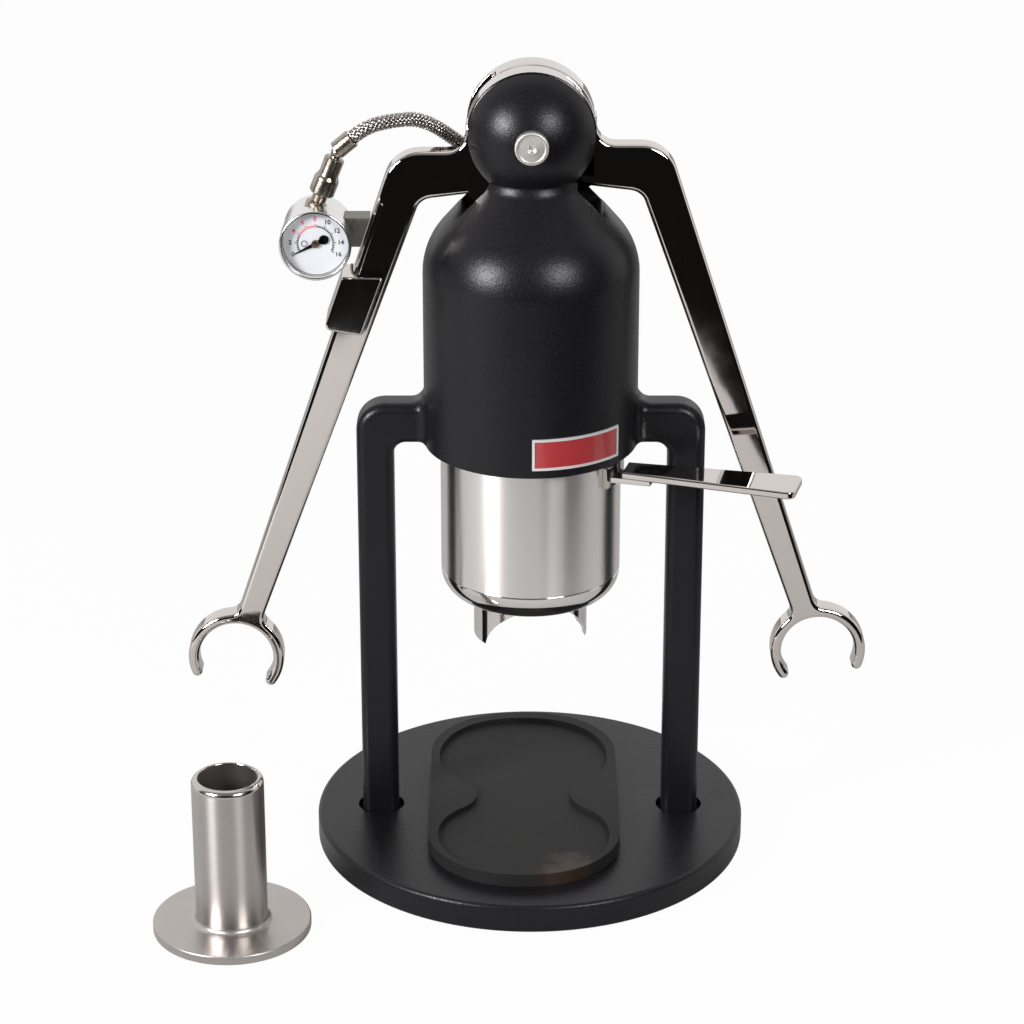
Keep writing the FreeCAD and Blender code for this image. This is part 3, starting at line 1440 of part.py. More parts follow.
def make_gauge_block():
    """Make the block between the case and the strap, cut to the round case."""
    block = new_body("gauge_block")
    low, high = "(gauge_z - block_low)", "(gauge_z + block_high)"
    slope = "(clamp_gap * 1.5 + strap_thick) / sin(forearm_angle)"
    outline = new_sketch(block, "XZ_Plane", "block_front")
    draw_loop(outline, [
        ("-gauge_x + case_radius * 0.6", low),
        ("-%s - %s" % (forearm_edge("(pivot_height - %s)" % low), slope), low),
        ("-%s - %s" % (forearm_edge("(pivot_height - %s)" % high), slope), high),
        ("-gauge_x + case_radius * 0.6", high),
    ])
    add_pad(block, outline, "block_depth")
    case = new_sketch(block, "XZ_Plane", "block_front + block_depth + 1")
    draw_circle(case, "-gauge_x", "gauge_z", "case_radius + 0.02")
    add_pocket(block, case, "block_depth + 2")


# Hose: gland on the rear shoulder and the hose that the object holds from end to end

def gland_frame():
    """Give the gland's seat, its axis and the axis of its hose sleeve."""
    side = FreeCAD.Rotation(FreeCAD.Vector(0, 0, 1), size("gland_side"))
    slope = size("shoulder_slope")
    radius = size("gland_reach")
    seat = side.multVec(FreeCAD.Vector(radius, 0, 0)) + FreeCAD.Vector(0, 0, size("gland_height"))
    out = FreeCAD.Rotation(FreeCAD.Vector(0, 1, 0), slope).multVec(FreeCAD.Vector(0, 0, 1))
    return seat, side.multVec(out)


def hose_route():
    """Give the hose's hand-picked points, from the gauge's ferrule to the gland's sleeve."""
    lean = FreeCAD.Rotation(FreeCAD.Vector(0, 1, 0), size("ferrule_angle"))
    start = FreeCAD.Vector(-size("ferrule_x"), -size("stem_y"), size("ferrule_z"))
    start = start + lean.multVec(FreeCAD.Vector(0, 0, size("ferrule_length")))
    seat, axis = gland_frame()
    end = seat + axis * size("gland_stem") + SLEEVE_AXIS * size("sleeve_length")
    lead = start + lean.multVec(FreeCAD.Vector(0, 0, size("hose_lead")))
    tail = end + SLEEVE_AXIS * size("hose_tail")
    return [start, lead] + [FreeCAD.Vector(*point) for point in HOSE_POINTS] + [tail, end]


HOSE_POINTS = [
    (-48.0, -7.0, 282.6),
    (-38.0, 1.0, 279.4),
]
SLEEVE_AXIS = FreeCAD.Vector(-0.50, -0.62, 0.60).normalize()


def rounded_path(points):
    """Join straight runs with tangent arcs, each as large as its two runs allow."""
    edges = []
    last = points[0]
    for before, corner, after in zip(points, points[1:], points[2:]):
        into = (corner - before).normalize()
        away = (after - corner).normalize()
        cut = 0.45 * min((corner - before).Length, (after - corner).Length)
        turn = into.getAngle(away)
        start = corner - into * cut
        end = corner + away * cut
        radius = cut / math.tan(turn / 2)
        print("hose arc of radius %.1f" % radius)
        middle_way = (end + start) * 0.5 - corner
        reach = (radius ** 2 + cut ** 2) ** 0.5 - radius
        middle = corner + middle_way.normalize() * reach
        edges.append(Part.LineSegment(last, start).toShape())
        edges.append(Part.Arc(start, middle, end).toShape())
        last = end
    edges.append(Part.LineSegment(last, points[-1]).toShape())
    return Part.Wire(edges)


def make_hose():
    """Sweep the hose along its route and compare its volume with section times length."""
    points = hose_route()
    path = rounded_path(points)
    circle = Part.makeCircle(size("hose_radius"), points[0], points[1] - points[0])
    tube = path.makePipeShell([Part.Wire([circle])], True, True)
    section = math.pi * size("hose_radius") ** 2
    if abs(tube.Volume / (section * path.Length) - 1) > 0.01:
        raise RuntimeError("the hose's volume is not its section times its length")
    print("hose length %.1f" % path.Length)
    keep_shape("pressure_hose", tube)


def make_gland():
    """Join the gland from its base, hexagon, stem, elbow and hose sleeve."""
    seat, axis = gland_frame()
    upright = FreeCAD.Rotation(FreeCAD.Vector(0, 0, 1), axis)
    pieces = []

    def cylinder(name, radius, low, high, start, rotation, kind="Part::Cylinder"):
        piece = doc.addObject(kind, name)
        if kind == "Part::Prism":
            piece.Polygon = 6
            piece.setExpression("Circumradius", bind(radius))
        else:
            piece.setExpression("Radius", bind(radius))
        piece.setExpression("Height", bind("%s - (%s)" % (high, low)))
        along_axis = rotation.multVec(FreeCAD.Vector(0, 0, size(low)))
        piece.Placement = FreeCAD.Placement(start + along_axis, rotation)
        pieces.append(piece)

    cylinder("gland_base", "gland_radius", "-gland_sink", "1.4", seat, upright)
    cylinder("gland_nut", "gland_radius + 0.8", "1.2", "4.6", seat, upright, "Part::Prism")
    cylinder("gland_neck", "hose_radius + 0.4", "4.4", "gland_stem", seat, upright)
    elbow = seat + axis * size("gland_stem")
    ball = doc.addObject("Part::Sphere", "gland_elbow")
    ball.setExpression("Radius", bind("hose_radius + 1"))
    ball.Placement = FreeCAD.Placement(elbow, FreeCAD.Rotation())
    pieces.append(ball)
    cylinder("gland_sleeve", "hose_radius + 0.7", "0", "sleeve_length", elbow,
             FreeCAD.Rotation(FreeCAD.Vector(0, 0, 1), SLEEVE_AXIS))
    gland = doc.addObject("Part::MultiFuse", "hose_gland")
    gland.Shapes = pieces
    gland.Label = "hose_gland"
    LABELS.append("hose_gland")
    doc.recompute()


# Tamper: a turned flange and tube that stands beside the machine

def make_tamper():
    """Turn the tamper and place it where it stands."""
    turned_part("tamper", [
        ("0", "0"),
        ("tamper_flange - tamper_edge", "0"),
        ("tamper_flange", "tamper_edge"),
        ("tamper_flange", "tamper_flange_thick - tamper_edge"),
        ("tamper_flange - tamper_edge", "tamper_flange_thick"),
        ("tamper_stem + tamper_fillet", "tamper_flange_thick", "-tamper_fillet"),
        ("tamper_stem", "tamper_flange_thick + tamper_fillet"),
        ("tamper_stem", "tamper_height - tamper_edge"),
        ("tamper_stem - tamper_edge", "tamper_height"),
        ("tamper_bore + tamper_edge", "tamper_height"),
        ("tamper_bore", "tamper_height - tamper_edge"),
        ("tamper_bore", "tamper_flange_thick"),
        ("0", "tamper_flange_thick"),
    ], x="-tamper_x", y="-tamper_y")


make_base_plate()
make_leg_fasteners()
make_base_pad()
make_frame_casting()
make_pivot()
make_arm("left_arm", "0")
make_arm("right_arm", "180")
make_crank_pin("left_crank_pin", "-", "90")
make_crank_pin("right_crank_pin", "", "-90")
make_link("left_link", 0)
make_link("right_link", 180)
make_wrist()
make_piston()
make_portafilter_cup()
make_basket()
make_spout()
make_handle()
make_mat()
make_gauge()
make_gauge_stem()
make_clamp()
make_gauge_block()
make_hose()
make_gland()
make_tamper()

# Check and write

doc.recompute()
for thing in doc.Objects:
    if "Invalid" in thing.State or "Error" in thing.State:
        raise RuntimeError("%s failed: %s" % (thing.Label, thing.State))
os.makedirs("parts", exist_ok=True)
for label in LABELS:
    thing = doc.getObjectsByLabel(label)[0]
    shape = thing.Shape
    if shape.isNull() or not shape.isValid() or shape.Volume <= 0:
        raise RuntimeError("%s has no valid shape" % label)
    shape.exportStep(os.path.join("parts", label + ".step"))
    print(label, len(shape.Solids), round(shape.Volume, 1))
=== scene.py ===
"""Looks of a manual lever espresso maker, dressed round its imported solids.

Everything is in metres, in the frame of the solids: X to the right, Y to the back, Z up.
Each sub-assembly is a class that holds its sizes and makes its own pieces.
"""

import json
import logging
import math
from dataclasses import dataclass
from enum import Enum
from typing import Callable, Iterable, Union

import bmesh
import bpy
from mathutils import Matrix, Vector


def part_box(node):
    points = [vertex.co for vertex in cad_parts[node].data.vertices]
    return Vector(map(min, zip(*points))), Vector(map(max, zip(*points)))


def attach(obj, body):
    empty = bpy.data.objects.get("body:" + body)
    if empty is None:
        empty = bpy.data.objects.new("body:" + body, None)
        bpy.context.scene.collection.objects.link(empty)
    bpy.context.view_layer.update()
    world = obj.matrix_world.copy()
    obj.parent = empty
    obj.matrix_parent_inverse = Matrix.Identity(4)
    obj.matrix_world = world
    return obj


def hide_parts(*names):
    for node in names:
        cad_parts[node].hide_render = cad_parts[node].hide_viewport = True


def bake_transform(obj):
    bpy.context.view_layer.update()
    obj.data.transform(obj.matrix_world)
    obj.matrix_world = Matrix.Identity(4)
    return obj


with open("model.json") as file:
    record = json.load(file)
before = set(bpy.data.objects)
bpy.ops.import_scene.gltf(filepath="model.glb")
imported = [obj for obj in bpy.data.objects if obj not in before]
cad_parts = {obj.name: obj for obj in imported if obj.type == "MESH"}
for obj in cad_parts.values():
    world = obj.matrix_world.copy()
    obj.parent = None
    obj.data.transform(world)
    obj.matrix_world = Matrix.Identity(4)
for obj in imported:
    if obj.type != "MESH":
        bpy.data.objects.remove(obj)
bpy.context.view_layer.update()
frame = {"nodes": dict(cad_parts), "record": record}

log = logging.getLogger("espresso_maker")

Colour = tuple[float, float, float]
Value = Union["Signal", float]
Sockets = dict[str, Union[Value, tuple]]

MERGE = 1e-6
SHARP_ANGLE = math.radians(28)
BEVEL_ANGLE = math.radians(35)
HOSE_ANGLE = math.radians(60)
FLAT_SHARE = 60
TO_FRONT = Matrix.Rotation(math.radians(90), 4, "X")
TO_BACK = Matrix.Rotation(math.radians(-90), 4, "X")


# Shader graphs

def arithmetic(operation: str, swapped: bool = False) -> Callable:
    """Give the method of an operator that adds a Math node, with its sides swapped if asked."""
    def method(self: "Signal", other: Value) -> "Signal":
        """Add the node to the signal's graph."""
        return self.graph.math(operation, *((other, self) if swapped else (self, other)))
    return method


class Signal:
    """One output of a shader node; arithmetic on it adds Math nodes."""

    def __init__(self, graph: "Graph", socket: bpy.types.NodeSocket) -> None:
        """Hold the graph and the socket that the value comes from."""
        self.graph = graph
        self.socket = socket

    __add__ = __radd__ = arithmetic("ADD")
    __sub__ = arithmetic("SUBTRACT")
    __rsub__ = arithmetic("SUBTRACT", swapped=True)
    __mul__ = __rmul__ = arithmetic("MULTIPLY")
    __pow__ = arithmetic("POWER")

    def rise(self, low: float, high: float) -> "Signal":
        """Climb smoothly from 0 at one value to 1 at another.

        Args:
            low: The value at which the result is 0.
            high: The value at which the result is 1.

        Returns:
            The smooth step, between 0 and 1.
        """
        inputs = {"Value": self, "From Min": low, "From Max": high}
        return self.graph.made("ShaderNodeMapRange", inputs, "Result",
                               interpolation_type="SMOOTHSTEP")


class Graph:
    """The node tree of one material or world."""

    def __init__(self, tree: bpy.types.NodeTree) -> None:
        """Empty the tree and keep it."""
        tree.nodes.clear()
        self.tree = tree

    def node(self, kind: str, inputs: dict | None = None, **settings: str) -> bpy.types.Node:
        """Add one node.

        Args:
            kind: The node's type.
            inputs: A value or a Signal for each socket, by identifier, name or index.
            settings: Its own settings, such as a Math node's operation.

        Returns:
            The new node.
        """
        made = self.tree.nodes.new(kind)
        for name, value in settings.items():
            setattr(made, name, value)
        for name, value in (inputs or {}).items():
            socket = self._input(made, name)
            if isinstance(value, Signal):
                self.tree.links.new(value.socket, socket)
            else:
                socket.default_value = value
        return made

    @staticmethod
    def _input(node: bpy.types.Node, name: str | int) -> bpy.types.NodeSocket:
        """Find an input socket by index, identifier or name.

        Args:
            node: The node.
            name: What the socket is known by.

        Returns:
            The socket.
        """
        if isinstance(name, int):
            return node.inputs[name]
        for socket in node.inputs:
            if socket.identifier == name:
                return socket
        return node.inputs[name]

    def out(self, node: bpy.types.Node, name: str | int = 0) -> Signal:
        """Wrap one output of a node."""
        return Signal(self, node.outputs[name])

    def made(self, kind: str, inputs: dict | None = None, output: str | int = 0,
             **settings: str) -> Signal:
        """Add one node as above and wrap one of its outputs."""
        return self.out(self.node(kind, inputs, **settings), output)

    def math(self, operation: str, *values: Value) -> Signal:
        """Add a Math node on up to three values."""
        return self.made("ShaderNodeMath", dict(enumerate(values)), operation=operation)

    def place(self) -> Signal:
        """Read the Object coordinates."""
        return self.made("ShaderNodeTexCoord", output="Object")

    def moved(self, place: Signal, centre: Iterable[float],
              scale: Iterable[float] = (1, 1, 1)) -> Signal:
        """Centre a place on a point and stretch it.

        Args:
            place: The coordinates to move.
            centre: The point that becomes the origin.
            scale: The stretch along each axis.

        Returns:
            The moved coordinates.
        """
        kind = "ShaderNodeVectorMath"
        away = self.made(kind, {0: place, 1: tuple(centre)}, operation="SUBTRACT")
        return self.made(kind, {0: away, 1: tuple(scale)}, operation="MULTIPLY")

    def parts(self, vector: Signal) -> tuple[Signal, Signal, Signal]:
        """Split a vector into its three numbers."""
        node = self.node("ShaderNodeSeparateXYZ", {"Vector": vector})
        return self.out(node, 0), self.out(node, 1), self.out(node, 2)

    def vector(self, x: Value, y: Value, z: Value) -> Signal:
        """Join three numbers into a vector."""
        return self.made("ShaderNodeCombineXYZ", {"X": x, "Y": y, "Z": z})

    def noise(self, place: Signal, scale: float, detail: float = 2.0,
              roughness: float = 0.5) -> Signal:
        """Add cloudy noise from 0 to 1 whose grains are about 1 / scale metres."""
        return self.made("ShaderNodeTexNoise", {
            "Vector": place, "Scale": scale, "Detail": detail, "Roughness": roughness})

    def blend(self, share: Value, first: Colour | Signal, second: Colour | Signal) -> Signal:
        """Mix two colours.

        Args:
            share: 0 for the first colour, 1 for the second.
            first: A colour.
            second: Another colour.

        Returns:
            The mixed colour.
        """
        inputs = {"Factor_Float": share}
        for name, colour in (("A_Color", first), ("B_Color", second)):
            inputs[name] = colour if isinstance(colour, Signal) else (*colour, 1.0)
        node = self.node("ShaderNodeMix", inputs, data_type="RGBA")
        return Signal(self, next(s for s in node.outputs if s.identifier == "Result_Color"))

    def bump(self, height: Signal, depth: float) -> Signal:
        """Turn a height from 0 to 1 into a normal, with a depth in metres."""
        inputs = {"Height": height, "Distance": depth, "Strength": 1.0}
        return self.made("ShaderNodeBump", inputs, "Normal")


# Finishes

@dataclass(frozen=True)
class Finish:
    """A surface finish. The base class is a smooth surface with faint blotches."""

    name: str
    colour: Colour
    roughness: float = 0.5
    metallic: float = 0.0
    blotch: float = 0.12
    blotch_scale: float = 60.0

    def material(self) -> bpy.types.Material:
        """Build the material once and give it again when asked.

        Returns:
            The finish's material.
        """
        made = bpy.data.materials.get(self.name)
        if made is not None:
            return made
        made = bpy.data.materials.new(self.name)
        made.use_nodes = True
        graph = Graph(made.node_tree)
        shader = graph.made("ShaderNodeBsdfPrincipled",
                            {"Metallic": self.metallic, **self.paint(graph)}, "BSDF")
        graph.node("ShaderNodeOutputMaterial", {"Surface": shader})
        return made

    def shaded(self, share: float) -> Colour:
        """Give the finish's colour made darker or lighter by a share."""
        return tuple(min(1.0, part * (1 + share)) for part in self.colour)

    def mottled(self, graph: Graph, share: Signal) -> Signal:
        """Blend from the darker to the lighter shade of the finish's blotches."""
        return graph.blend(share, self.shaded(-self.blotch), self.shaded(self.blotch))

    def paint(self, graph: Graph) -> Sockets:
        """Give what feeds the shader's sockets: here the colour and the roughness."""
        cloud = graph.noise(graph.place(), self.blotch_scale, 3.0)
        return {"Base Color": self.mottled(graph, cloud),
                "Roughness": cloud * (0.3 * self.roughness) + 0.85 * self.roughness}


@dataclass(frozen=True)
class PowderCoat(Finish):
    """Black satin coat with a fine orange-peel grain that glitters in the light."""

    grain: float = 1500.0
    peel: float = 600.0
    depth: float = 0.00009
    tint: Colour = (0.97, 0.95, 1.0)
    gloss: float = 0.26

    def paint(self, graph: Graph) -> Sockets:
        """Put the grain into the height, the roughness and the colour.

        Args:
            graph: The material's node tree.

        Returns:
            What feeds the shader's sockets.
        """
        place = graph.place()
        grain = graph.noise(place, self.grain, 2.0, 0.6)
        peel = graph.noise(place, self.peel, 1.0)
        cloud = graph.noise(place, self.blotch_scale, 3.0)
        speck = grain.rise(0.56, 0.72)
        colour = graph.blend(speck * 0.5, self.mottled(graph, cloud), self.shaded(1.6))
        return {"Base Color": colour,
                "Roughness": self.roughness + (grain - 0.5) * 0.25,
                "Normal": graph.bump(grain * 0.65 + peel * 0.35, self.depth),
                "Specular Tint": (*self.tint, 1.0),
                "Specular IOR Level": self.gloss}


@dataclass(frozen=True)
class Mirror(Finish):
    """Polished plating with faint smears and a trace of the polishing wheel."""

    smear_scale: float = 35.0
    wave: float = 0.000012

    def paint(self, graph: Graph) -> Sockets:
        """Put the smears into the roughness and a slow wave into the height.

        Args:
            graph: The material's node tree.

        Returns:
            What feeds the shader's sockets.
        """
        place = graph.place()
        smear = graph.noise(place, self.smear_scale, 4.0, 0.6)
        scuff = graph.noise(graph.moved(place, (0, 0, 0), (1, 1, 0.12)), 1900.0, 2.0)
        wave = graph.noise(place, 90.0, 1.0)
        return {"Base Color": graph.blend(smear, self.shaded(-0.05), self.shaded(0.03)),
                "Roughness": (self.roughness + smear.rise(0.45, 0.8) * 0.05
                              + scuff.rise(0.6, 0.85) * 0.04),
                "Normal": graph.bump(wave, self.wave)}


class Axis(Enum):
    """The way a lathe's centre line runs."""

    UP = "up"
    FRONT = "front"


@dataclass(frozen=True)
class Lathe(Finish):
    """Turned metal: fine rings round a centre line, with a broad tarnish."""

    centre: Colour = (0.0, 0.0, 0.0)
    axis: Axis = Axis.UP
    lines: float = 5200.0
    depth: float = 0.000006
    spread: float = 0.10
    anisotropic: float = 0.0
    quarter_turn: float = 0.25

    def paint(self, graph: Graph) -> Sockets:
        """Put the rings into the roughness, the height and the colour.

        Args:
            graph: The material's node tree.

        Returns:
            What feeds the shader's sockets.
        """
        place = graph.moved(graph.place(), self.centre)
        x, y, z = graph.parts(place)
        along, across = (z, y) if self.axis is Axis.UP else (y, z)
        radius = (x * x + across * across) ** 0.5
        rings = graph.noise(graph.vector(radius, along, x * 0.01), self.lines, 1.5, 0.6)
        cloud = graph.noise(place, self.blotch_scale, 3.0)
        return {"Base Color": self.mottled(graph, rings * 0.5 + cloud * 0.5),
                "Roughness": self.roughness + (rings - 0.5) * self.spread,
                "Normal": graph.bump(rings, self.depth),
                "Anisotropic": self.anisotropic,
                "Anisotropic Rotation": self.quarter_turn if self.anisotropic else 0.0}


@dataclass(frozen=True)
class Plated(Finish):
    """Nickel plating on small fittings, browned with tarnish in random patches."""

    tarnish: Colour = (0.16, 0.115, 0.075)
    grain_depth: float = 0.000008

    def paint(self, graph: Graph) -> Sockets:
        """Put the tarnish into the colour and the roughness.

        Args:
            graph: The material's node tree.

        Returns:
            What feeds the shader's sockets.
        """
        place = graph.place()
        stain = graph.noise(place, 260.0, 3.0, 0.6).rise(0.48, 0.72)
        fine = graph.noise(place, 3200.0, 1.0)
        return {"Base Color": graph.blend(stain * 0.55, self.colour, self.tarnish),
                "Roughness": self.roughness + stain * 0.12 + (fine - 0.5) * 0.08,
                "Normal": graph.bump(fine, self.grain_depth)}


@dataclass(frozen=True)
class Braid(Finish):
    """Steel wire, each strand a little brighter or duller than the next."""

    def paint(self, graph: Graph) -> Sockets:
        """Put the strands' difference into the colour and the roughness."""
        strand = graph.noise(graph.place(), 1400.0, 1.0)
        return {"Base Color": graph.blend(strand.rise(0.3, 0.7), self.shaded(-0.45),
                                          self.shaded(0.18)),
                "Roughness": self.roughness + (strand - 0.5) * 0.2}


@dataclass(frozen=True)
class Rubber(Finish):
    """Moulded rubber with a matte skin, and a dried splash where one is given."""

    stain_centre: Colour | None = None
    stain_radius: float = 0.013
    stain_colour: Colour = (0.030, 0.017, 0.012)
    skin_depth: float = 0.00004
    gloss: float = 0.28

    def paint(self, graph: Graph) -> Sockets:
        """Give the skin and the splash.

        Args:
            graph: The material's node tree.

        Returns:
            What feeds the shader's sockets.
        """
        place = graph.place()
        skin = graph.noise(place, 1500.0, 3.0, 0.65)
        dust = graph.noise(place, 140.0, 4.0, 0.6)
        colour = graph.blend(dust, self.shaded(-0.25), self.shaded(0.35))
        rough = self.roughness + (skin - 0.5) * 0.18
        if self.stain_centre is not None:
            x, y, _ = graph.parts(graph.moved(place, self.stain_centre))
            reach = (x * x + y * y * 0.3) ** 0.5 + (dust - 0.5) * 0.016
            wet = 1 - reach.rise(0.55 * self.stain_radius, self.stain_radius)
            colour = graph.blend(wet * 0.8, colour, self.stain_colour)
            rough = rough - wet * 0.2
        return {"Base Color": colour, "Roughness": rough,
                "Normal": graph.bump(skin, self.skin_depth),
                "Specular IOR Level": self.gloss}


@dataclass(frozen=True)
class Enamel(Finish):
    """Hard glossy paint under a clear coat."""

    ripple: float = 0.00001
    coat: float = 0.6
    coat_roughness: float = 0.08

    def paint(self, graph: Graph) -> Sockets:
        """Give a slight unevenness under a constant coat."""
        cloud = graph.noise(graph.place(), 300.0, 3.0)
        return {"Base Color": self.mottled(graph, cloud),
                "Roughness": self.roughness + (cloud - 0.5) * 0.08,
                "Normal": graph.bump(cloud, self.ripple),
                "Coat Weight": self.coat,
                "Coat Roughness": self.coat_roughness}


@dataclass(frozen=True)
class Lens(Finish):
    """Clear window, almost all see-through, with a trace of dust."""

    alpha: float = 0.002
    dust_alpha: float = 0.01

    def paint(self, graph: Graph) -> Sockets:
        """Give a dusty transparency."""
        dust = graph.noise(graph.place(), 700.0, 4.0, 0.7)
        return {"Base Color": (*self.colour, 1.0), "Roughness": self.roughness,
                "Alpha": self.alpha + dust.rise(0.55, 0.8) * self.dust_alpha}


def middle_of(node: str) -> Vector:
    """Give the middle of a CAD node's box."""
    low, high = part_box(node)
    return (low + high) / 2


GAUGE_CENTRE = middle_of("gauge_dial")
TAMPER_CENTRE = middle_of("tamper")
PIVOT_HEIGHT = middle_of("pivot_shaft").z

FINISHES: dict[str, Finish] = {
    "black_powder_coat": PowderCoat("powder_coat", (0.0050, 0.0047, 0.0056), 0.33, blotch=0.10),
    "polished_chrome": Mirror("chrome", (0.64, 0.59, 0.56), 0.04, 1.0),
    "polished_stainless": Lathe("polished_steel", (0.66, 0.625, 0.60), 0.12, 1.0, 0.05,
                                spread=0.05, depth=0.000003),
    "brushed_stainless": Lathe("brushed_steel", (0.55, 0.52, 0.49), 0.30, 1.0, 0.08),
    "plated_fitting": Plated("plated_metal", (0.40, 0.355, 0.31), 0.22, 1.0),
    "braided_steel": Braid("braided_wire", (0.66, 0.61, 0.58), 0.30, 1.0),
    "black_rubber": Rubber("pad_rubber", (0.011, 0.010, 0.0098), 0.70),
    "grey_seal": Rubber("seal_rubber", (0.20, 0.20, 0.20), 0.55),
    "bearing_plastic": Finish("bush_plastic", (0.80, 0.79, 0.75), 0.45, blotch=0.04),
    "dial_white": Finish("dial_paint", (0.50, 0.505, 0.535), 0.62, blotch=0.02),
    "pointer_black": Finish("pointer_paint", (0.012, 0.012, 0.013), 0.45, 1.0),
    "clear_lens": Lens("window_glass", (0.10, 0.105, 0.11), 0.03),
}
MAT_RUBBER = Rubber("mat_rubber", (0.0082, 0.0074, 0.0072), 0.66,
                    stain_centre=(0.014, -0.066, 0.011))
TURNED_TAMPER = Lathe("tamper_steel", (0.50, 0.465, 0.44), 0.30, 1.0, 0.10,
                      centre=tuple(TAMPER_CENTRE), depth=0.000004, anisotropic=0.92)
POLISHED_RIM = Lathe("rim_steel", (0.55, 0.52, 0.49), 0.16, 1.0, 0.05,
                     centre=tuple(TAMPER_CENTRE), depth=0.000002)
FLANGE_STEEL = Lathe("flange_steel", (0.46, 0.43, 0.41), 0.34, 1.0, 0.10,
                     centre=tuple(TAMPER_CENTRE), depth=0.000012)
TURNED_CUP = Lathe("cup_steel", (0.84, 0.80, 0.77), 0.24, 1.0, 0.02, spread=0.02,
                   depth=0.00000002, anisotropic=0.95)
BRIGHT_CUP = Lathe("cup_polish", (0.72, 0.685, 0.66), 0.06, 1.0, 0.02, spread=0.02,
                   depth=0.00000002)
TURNED_CAN = Lathe("gauge_can", (0.74, 0.73, 0.71), 0.20, 1.0, 0.04,
                   centre=tuple(GAUGE_CENTRE), axis=Axis.FRONT, depth=0.000004)
TURNED_CAP = Lathe("cap_steel", (0.70, 0.67, 0.64), 0.44, 1.0, 0.06,
                   centre=(0.0, 0.0, PIVOT_HEIGHT), axis=Axis.FRONT, lines=3600.0, depth=0.000022)
BADGE_RIM = Finish("badge_rim", (0.70, 0.69, 0.70), 0.42, 0.55)
BLOCK_STEEL = Finish("block_steel", (0.20, 0.185, 0.165), 0.42, 1.0, 0.30, 900.0)
RED_ENAMEL = Enamel("red_enamel", (0.30, 0.026, 0.029), 0.30, blotch=0.06)
RED_INK = Finish("red_ink", (0.62, 0.06, 0.07), 0.5)
BLACK_INK = Finish("black_ink", (0.006, 0.006, 0.007), 0.5, 1.0)
BRASS = Finish("hub_brass", (0.24, 0.16, 0.13), 0.30, 1.0)


# Making meshes

@dataclass(frozen=True)
class Corner:
    """A corner of a turned outline: radius, height and rounding."""

    radius: float
    height: float
    round: float = 0.0


def band(inner: float, outer: float, low: float, high: float) -> list[Corner]:
    """Give the square outline between two radii and two heights."""
    return [Corner(inner, low), Corner(outer, low), Corner(outer, high), Corner(inner, high)]


def swept(centre: Vector, start: Vector, stop: Vector, steps: int) -> list[Vector]:
    """Give the points of the shorter arc between two points in the XZ plane.

    Args:
        centre: The arc's middle.
        start: Where it begins.
        stop: Where it ends.
        steps: How many chords it gets.

    Returns:
        The points of the arc, with both ends.
    """
    first, last = start - centre, stop - centre
    turn = first.angle(last) * (1 if first.cross(last).y > 0 else -1)
    return [centre + Matrix.Rotation(turn * step / steps, 3, "Y") @ first
            for step in range(steps + 1)]


def rounded(corners: list[Corner], steps: int = 6) -> list[Vector]:
    """Round the corners of a closed outline with tangent arcs.

    Args:
        corners: The outline's corners, in order.
        steps: How many chords an arc gets.

    Returns:
        Points in the XZ plane.
    """
    places = [Vector((c.radius, 0.0, c.height)) for c in corners]
    points: list[Vector] = []
    for i, corner in enumerate(corners):
        here = places[i]
        if corner.round <= 0:
            points.append(here)
            continue
        before, after = places[i - 1], places[(i + 1) % len(places)]
        into, away = (before - here).normalized(), (after - here).normalized()
        half = into.angle(away) / 2
        cut = corner.round / math.tan(half)
        centre = here + (into + away).normalized() * (corner.round / math.sin(half))
        points += swept(centre, here + into * cut, here + away * cut, steps)
    return points


def mend(shape: bmesh.types.BMesh) -> bmesh.types.BMesh:
    """Turn all faces of a closed bmesh outwards and give it back.

    Args:
        shape: The bmesh.

    Returns:
        The same bmesh.
    """
    bmesh.ops.recalc_face_normals(shape, faces=shape.faces)
    if shape.calc_volume(signed=True) < 0:
        bmesh.ops.reverse_faces(shape, faces=shape.faces)
    return shape


def spun(points: list[Vector], steps: int = 128,
         place: Matrix = Matrix.Identity(4)) -> bmesh.types.BMesh:
    """Turn a closed outline about the Z axis.

    Args:
        points: The outline in the XZ plane.
        steps: The segments of a full turn.
        place: The matrix that puts the turned body in its place.

    Returns:
        A closed bmesh.
    """
    shape = bmesh.new()
    verts = [shape.verts.new(point) for point in points]
    edges = [shape.edges.new(pair) for pair in zip(verts, verts[1:] + verts[:1])
             if not (pair[0].co.x < MERGE and pair[1].co.x < MERGE)]
    bmesh.ops.spin(shape, geom=verts + edges, cent=(0, 0, 0), axis=(0, 0, 1), dvec=(0, 0, 0),
                   angle=2 * math.pi, steps=steps, use_merge=True, use_duplicate=False)
    bmesh.ops.remove_doubles(shape, verts=shape.verts, dist=MERGE)
    mend(shape)
    shape.transform(place)
    return shape


def cylinder(radius: float, low: float, high: float, steps: int, place: Matrix,
             foot: float = 0.0, rim: float = 0.0) -> bmesh.types.BMesh:
    """Turn a solid cylinder.

    Args:
        radius: Its radius.
        low: The height of its foot.
        high: The height of its top.
        steps: The segments of a full turn.
        place: The matrix that puts it in its place.
        foot: The rounding of its lower edge.
        rim: The rounding of its upper edge.

    Returns:
        A closed bmesh.
    """
    return spun(rounded([Corner(0.0, low), Corner(radius, low, foot), Corner(radius, high, rim),
                         Corner(0.0, high)]), steps, place)


def bridged(loops: list[list[bmesh.types.BMEdge]], shape: bmesh.types.BMesh) -> bmesh.types.BMesh:
    """Bridge closed loops of edges and close the first and the last of them.

    Args:
        loops: The edges of each loop, in order.
        shape: The bmesh that holds them.

    Returns:
        The same bmesh, closed.
    """
    for near, far in zip(loops, loops[1:]):
        bmesh.ops.bridge_loops(shape, edges=near + far)
    bmesh.ops.holes_fill(shape, edges=shape.edges, sides=0)
    return mend(shape)


